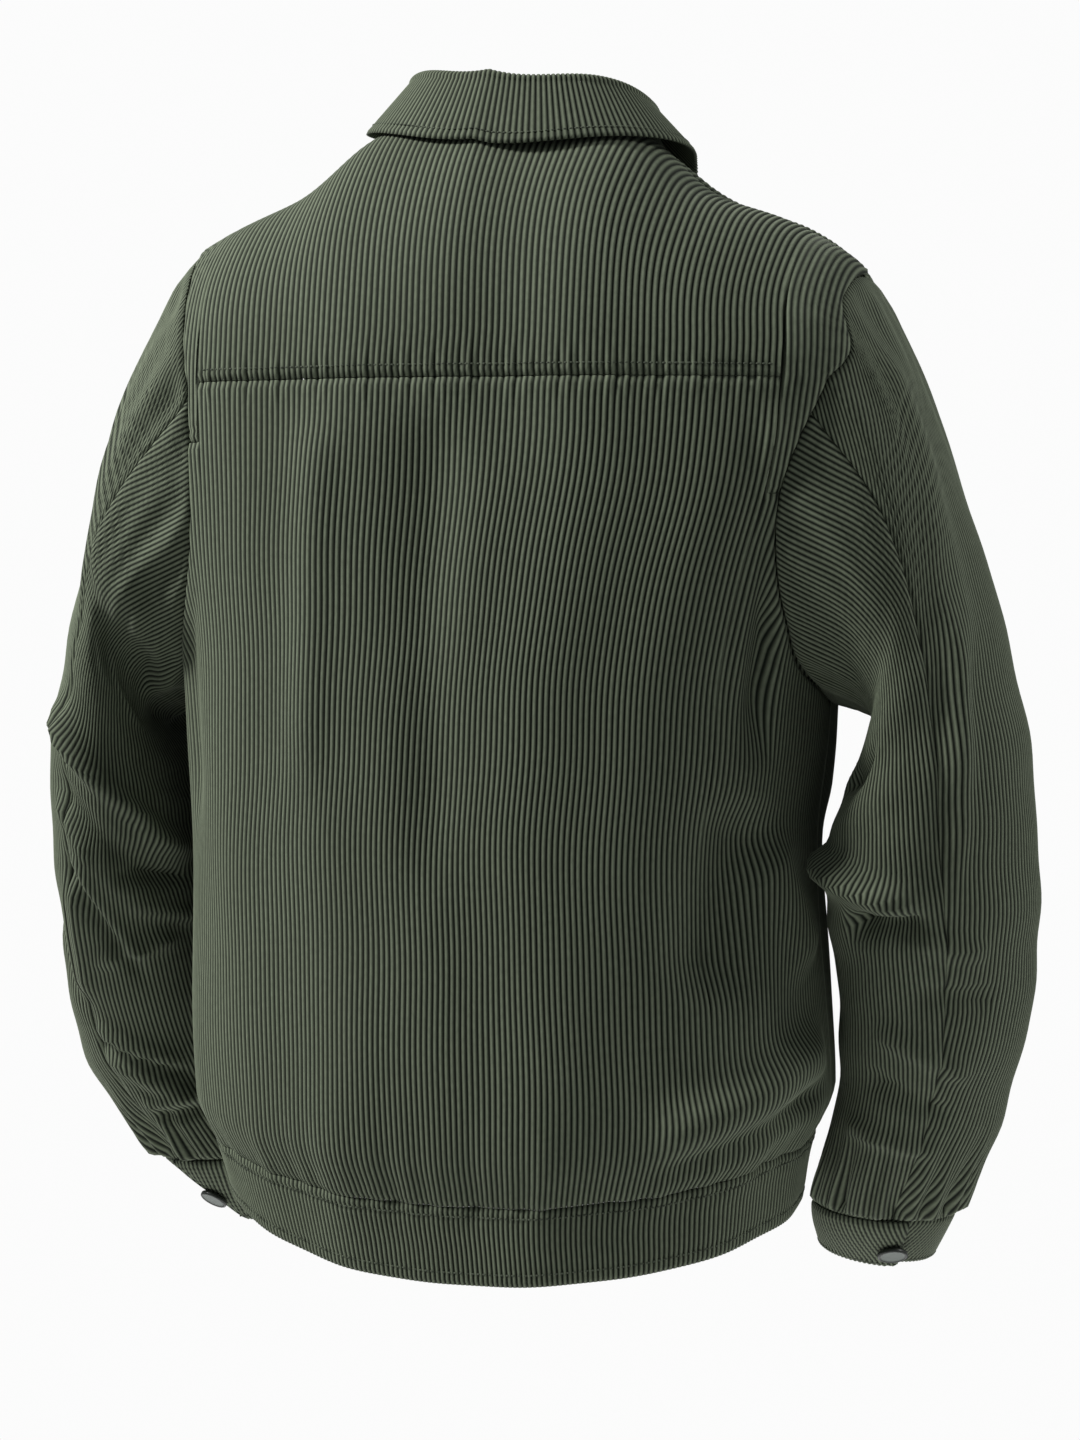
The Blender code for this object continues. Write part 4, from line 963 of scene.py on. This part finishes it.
def collar(degrees, share, out=0.0):
    """share 0 is the sewn edge, 0.4 the roll, 1 the free edge; out grows towards the fall's face."""
    degrees, share = np.broadcast_arrays(np.asarray(degrees, float), np.asarray(share, float))
    size = np.abs(degrees)
    up, inward, edge_out, edge_up = [through(size, column(COLLAR, COLLAR_COLUMNS, "degrees"),
                                             column(COLLAR, COLLAR_COLUMNS, n))
                                     for n in COLLAR_COLUMNS[1:]]
    foot = neck_point(degrees)
    a = np.radians(degrees)
    radial = np.stack([np.sin(a), np.cos(a), np.zeros_like(a)], -1)
    # the section, outer skin: inner face of the stand up, round the roll, down the fall
    roll = ROLL_R + out
    centre_r = -inward
    centre_u = up - ROLL_R
    stand_t = np.clip(share / STAND_SHARE, 0, 1)
    fall_t = np.clip((share - ROLL_SHARE) / (1 - ROLL_SHARE), 0, 1)
    turn = np.clip((share - STAND_SHARE) / (ROLL_SHARE - STAND_SHARE), 0, 1) * pi
    foot_r = FOOT_IN - DOUBLE
    r = np.where(share <= STAND_SHARE, foot_r + (centre_r - ROLL_R - foot_r) * stand_t - out,
                 np.where(share < ROLL_SHARE, centre_r - roll * np.cos(turn),
                          centre_r + ROLL_R + (edge_out - centre_r - ROLL_R) * fall_t + out))
    u = np.where(share <= STAND_SHARE, -FOOT_DOWN + (centre_u + FOOT_DOWN) * stand_t,
                 np.where(share < ROLL_SHARE, centre_u + roll * np.sin(turn),
                          centre_u + (edge_up - centre_u) * fall_t))
    p = foot + radial * r[..., None]
    p[..., 2] += u
    return p


degrees = np.linspace(-COLLAR_END, COLLAR_END, COLLAR_WALES * PER_WALE + 1)
share = np.concatenate([np.linspace(0, STAND_SHARE, 9, endpoint=False),
                        np.linspace(STAND_SHARE, ROLL_SHARE, 12, endpoint=False),
                        np.linspace(ROLL_SHARE, 1, 15)])
d, s = np.meshgrid(degrees, share)
smooth = collar(d, s)
inner = collar(d, s, -DOUBLE)
normal = unit(smooth - inner)
edges = to_edges(smooth)
count = (d / (2 * COLLAR_END)) * COLLAR_WALES
detail = RIB * (ribs(count) - 0.7)
for edge in range(4):
    detail = detail - COLLAR_ROLLED * (1 - ease(0.0, 0.0030, edges[edge]))
detail = detail + dip(edges[1], 0.0070, STITCH_WIDTH, STITCH_IN)
outer = smooth + normal * detail[..., None]
finish_cloth(shell("collar_cloth", outer, inner, np.stack([count, edges[0]], -1)), "collar",
             (0.50, 0.085), None)
stitch_line(smooth, edges, normal, 1, 0.0070)

# ------------------------------------------------------------------ topstitching
# Short stitches of thick thread, one after another along each line, sunk into the ribs.
THREAD = 0.0005
STITCH = 0.0024
STITCH_STEP = 0.0034


def stitches():
    points, faces = [], []
    for line, out in STITCHES:
        length = np.concatenate([[0], np.cumsum(np.linalg.norm(np.diff(line, axis=0), axis=1))])
        for at in np.arange(STITCH_STEP / 2, length[-1] - STITCH, STITCH_STEP):
            a, b, n = [np.array([np.interp(where, length, grid[:, k]) for k in range(3)])
                       for where, grid in ((at, line), (at + STITCH, line), (at, out))]
            along = (b - a) / np.linalg.norm(b - a)
            across = np.cross(along, n)
            first = len(points)
            for t, width, up in ((0, 0.4, -0.9), (0.25, 1.0, 0.2), (0.75, 1.0, 0.2), (1, 0.4, -0.9)):
                centre = a + (b - a) * t + n * (up * THREAD)
                for sx, sn in ((-1, -1), (-0.6, 0.7), (0.6, 0.7), (1, -1)):
                    points.append(centre + across * (sx * width * THREAD) + n * (sn * width * THREAD))
            for k in range(3):
                for j in range(4):
                    p, q = first + 4 * k + j, first + 4 * k + (j + 1) % 4
                    faces.append((p, q, q + 4, p + 4))
            faces.append(tuple(first + j for j in (3, 2, 1, 0)))
            faces.append(tuple(first + 12 + j for j in range(4)))
    mesh = bpy.data.meshes.new("topstitching")
    mesh.from_pydata([tuple(p) for p in points], [], faces)
    mesh.polygons.foreach_set("use_smooth", np.ones(len(faces), dtype=bool))
    piece = bpy.data.objects.new("topstitching", mesh)
    bpy.context.scene.collection.objects.link(piece)
    return piece


thread, shader, start = principled("thread", Roughness=0.7, Specular_IOR_Level=0.3)
shader.inputs["Base Color"].default_value = (0.060, 0.072, 0.048, 1.0)
seams = stitches()
seams.data.materials.append(thread)
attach(seams, "root")

# ------------------------------------------------------------------ buttons
# Flat-faced round buttons of grey-green composition with a raised rim; the rim and outer edge are
# painted near-black as the shadow round each button.


def button_material():
    material, shader, start = principled("button", Roughness=0.42, Specular_IOR_Level=0.5)
    place = start.node("ShaderNodeTexCoord", {}, {}, 3)
    speckle = start.node("ShaderNodeTexNoise", {}, {"Vector": place, "Scale": 420.0, "Detail": 2.0})
    colour = speckle.mix((0.100, 0.118, 0.104, 1.0), (0.150, 0.172, 0.150, 1.0))
    material.node_tree.links.new(colour.socket, shader.inputs["Base Color"])
    return material


BUTTON = button_material()
# painted shadow: near-black material for the outer ring of each button
RIM_SHADOW = principled("button_rim", Roughness=0.38)[0]
RIM_SHADOW.node_tree.nodes["Principled BSDF"].inputs["Base Color"].default_value = (0.020, 0.024, 0.018, 1)
PROFILE = ((0.0, 0.0011), (0.0060, 0.0011), (0.0072, 0.0012), (0.0076, 0.0016), (0.0082, 0.0017),
           (0.0088, 0.0013), (0.0090, 0.0006), (0.0089, -0.0008), (0.0080, -0.0015), (0.0, -0.0015))
ROUND = 48


def button(name, node):
    """Turned button on the place of its plain solid."""
    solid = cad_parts[node]
    points = np.array([v.co[:] for v in solid.data.vertices])
    centre = points.mean(0)
    axes = np.linalg.svd(points - centre)[2]
    face = axes[2]
    outside = centre - np.array(HEART[node.split("_")[0] + ("_" + node.split("_")[2]
                                                            if node.startswith("cuff") else "")])
    face = face * np.sign(np.dot(face, outside))
    side = unit(np.cross(face, [0.0, 0.0, 1.0]))
    up = np.cross(side, face)
    points, faces = [centre + face * PROFILE[0][1]], []
    rings = PROFILE[1:-1]
    for r, h in rings:
        for k in range(ROUND):
            a = 2 * pi * k / ROUND
            points.append(centre + side * (r * cos(a)) + up * (r * sin(a)) + face * h)
    points.append(centre + face * PROFILE[-1][1])
    last = len(points) - 1
    for k in range(ROUND):
        j = (k + 1) % ROUND
        faces.append((0, 1 + k, 1 + j))
        for i in range(len(rings) - 1):
            a = 1 + i * ROUND
            faces.append((a + k, a + ROUND + k, a + ROUND + j, a + j))
        a = 1 + (len(rings) - 1) * ROUND
        faces.append((a + j, a + k, last))
    mesh = bpy.data.meshes.new(name)
    mesh.from_pydata([tuple(p) for p in points], [], faces)
    mesh.materials.append(BUTTON)
    mesh.materials.append(RIM_SHADOW)
    for polygon in mesh.polygons:
        polygon.use_smooth = True
        reach = max(np.linalg.norm(np.cross(np.array(mesh.vertices[v].co) - centre, face))
                    for v in polygon.vertices)
        # polygons past 7.3 mm from the axis take the painted shadow colour
        polygon.material_index = 1 if reach > 0.0073 else 0
    piece = bpy.data.objects.new(name, mesh)
    bpy.context.scene.collection.objects.link(piece)
    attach(piece, "root")
    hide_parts(node)
    return piece


HEART = {"front": (0.0, 0.0, -0.35), "cuff_left": (0.21, -0.115, -0.640),
         "cuff_right": (-0.20, -0.115, -0.642)}
for node in sorted(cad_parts):
    if "button" in node:
        button(node + "_turned", node)

# ------------------------------------------------------------------ floor, light and camera
floor = bpy.data.meshes.new("floor")
corners = [(1.1 * cos(k * pi / 48), 1.1 * sin(k * pi / 48), -1.25) for k in range(96)]
floor.from_pydata(corners, [], [tuple(range(96))])
ground = bpy.data.objects.new("floor", floor)
pale = principled("pale_floor", Roughness=0.9)[0]
paint = pale.node_tree.nodes["Principled BSDF"].inputs
paint["Base Color"].default_value = (0.93, 0.93, 0.92, 1)
paint["Emission Color"].default_value = (1.0, 1.0, 1.0, 1.0)
paint["Emission Strength"].default_value = 0.25
floor.materials.append(pale)
bpy.context.scene.collection.objects.link(ground)

world = bpy.data.worlds.new("studio")
world.use_nodes = True
tree = world.node_tree
soft = tree.nodes["Background"]
soft.inputs["Color"].default_value = (0.93, 0.96, 1.0, 1.0)
soft.inputs["Strength"].default_value = 0.27
white = tree.nodes.new("ShaderNodeBackground")
white.inputs["Color"].default_value = (1.0, 1.0, 1.0, 1.0)
white.inputs["Strength"].default_value = 0.97
seen = tree.nodes.new("ShaderNodeLightPath")
both = tree.nodes.new("ShaderNodeMixShader")
tree.links.new(seen.outputs["Is Camera Ray"], both.inputs[0])
tree.links.new(soft.outputs[0], both.inputs[1])
tree.links.new(white.outputs[0], both.inputs[2])
tree.links.new(both.outputs[0], tree.nodes["World Output"].inputs[0])
bpy.context.scene.world = world


def softbox(name, place, aim, size, power):
    light = bpy.data.lights.new(name, "AREA")
    light.shape = "SQUARE"
    light.size = size
    light.energy = power
    lamp = bpy.data.objects.new(name, light)
    lamp.location = place
    lamp.rotation_euler = (Vector(aim) - Vector(place)).to_track_quat("-Z", "Y").to_euler()
    bpy.context.scene.collection.objects.link(lamp)


softbox("key", (1.85, 0.95, 1.30), (0.0, 0.0, -0.3), 0.50, 88.0)
softbox("rim", (-1.9, -0.2, 0.7), (0.0, 0.0, -0.25), 0.5, 16.0)

AZIMUTH = 198.0
DISTANCE = 1.7
CAMERA_Z = -0.2685
ASIDE = 0.436
DOWN = 2.18
camera = bpy.data.cameras.new("camera")
camera.sensor_fit = "VERTICAL"
camera.sensor_height = 36.0
camera.lens = 72.25
eye = bpy.data.objects.new("camera", camera)
turned = radians(AZIMUTH - 180.0)
forward = Vector((sin(turned), -cos(turned), 0.0))
right = Vector((-cos(turned), -sin(turned), 0.0))
eye.location = -forward * DISTANCE + Vector((0.0, 0.0, CAMERA_Z))
aim = forward + right * tan(radians(ASIDE)) - Vector((0.0, 0.0, tan(radians(DOWN))))
eye.rotation_euler = aim.to_track_quat("-Z", "Y").to_euler()
bpy.context.scene.collection.objects.link(eye)
bpy.context.scene.camera = eye
bpy.context.scene.view_settings.view_transform = "Standard"
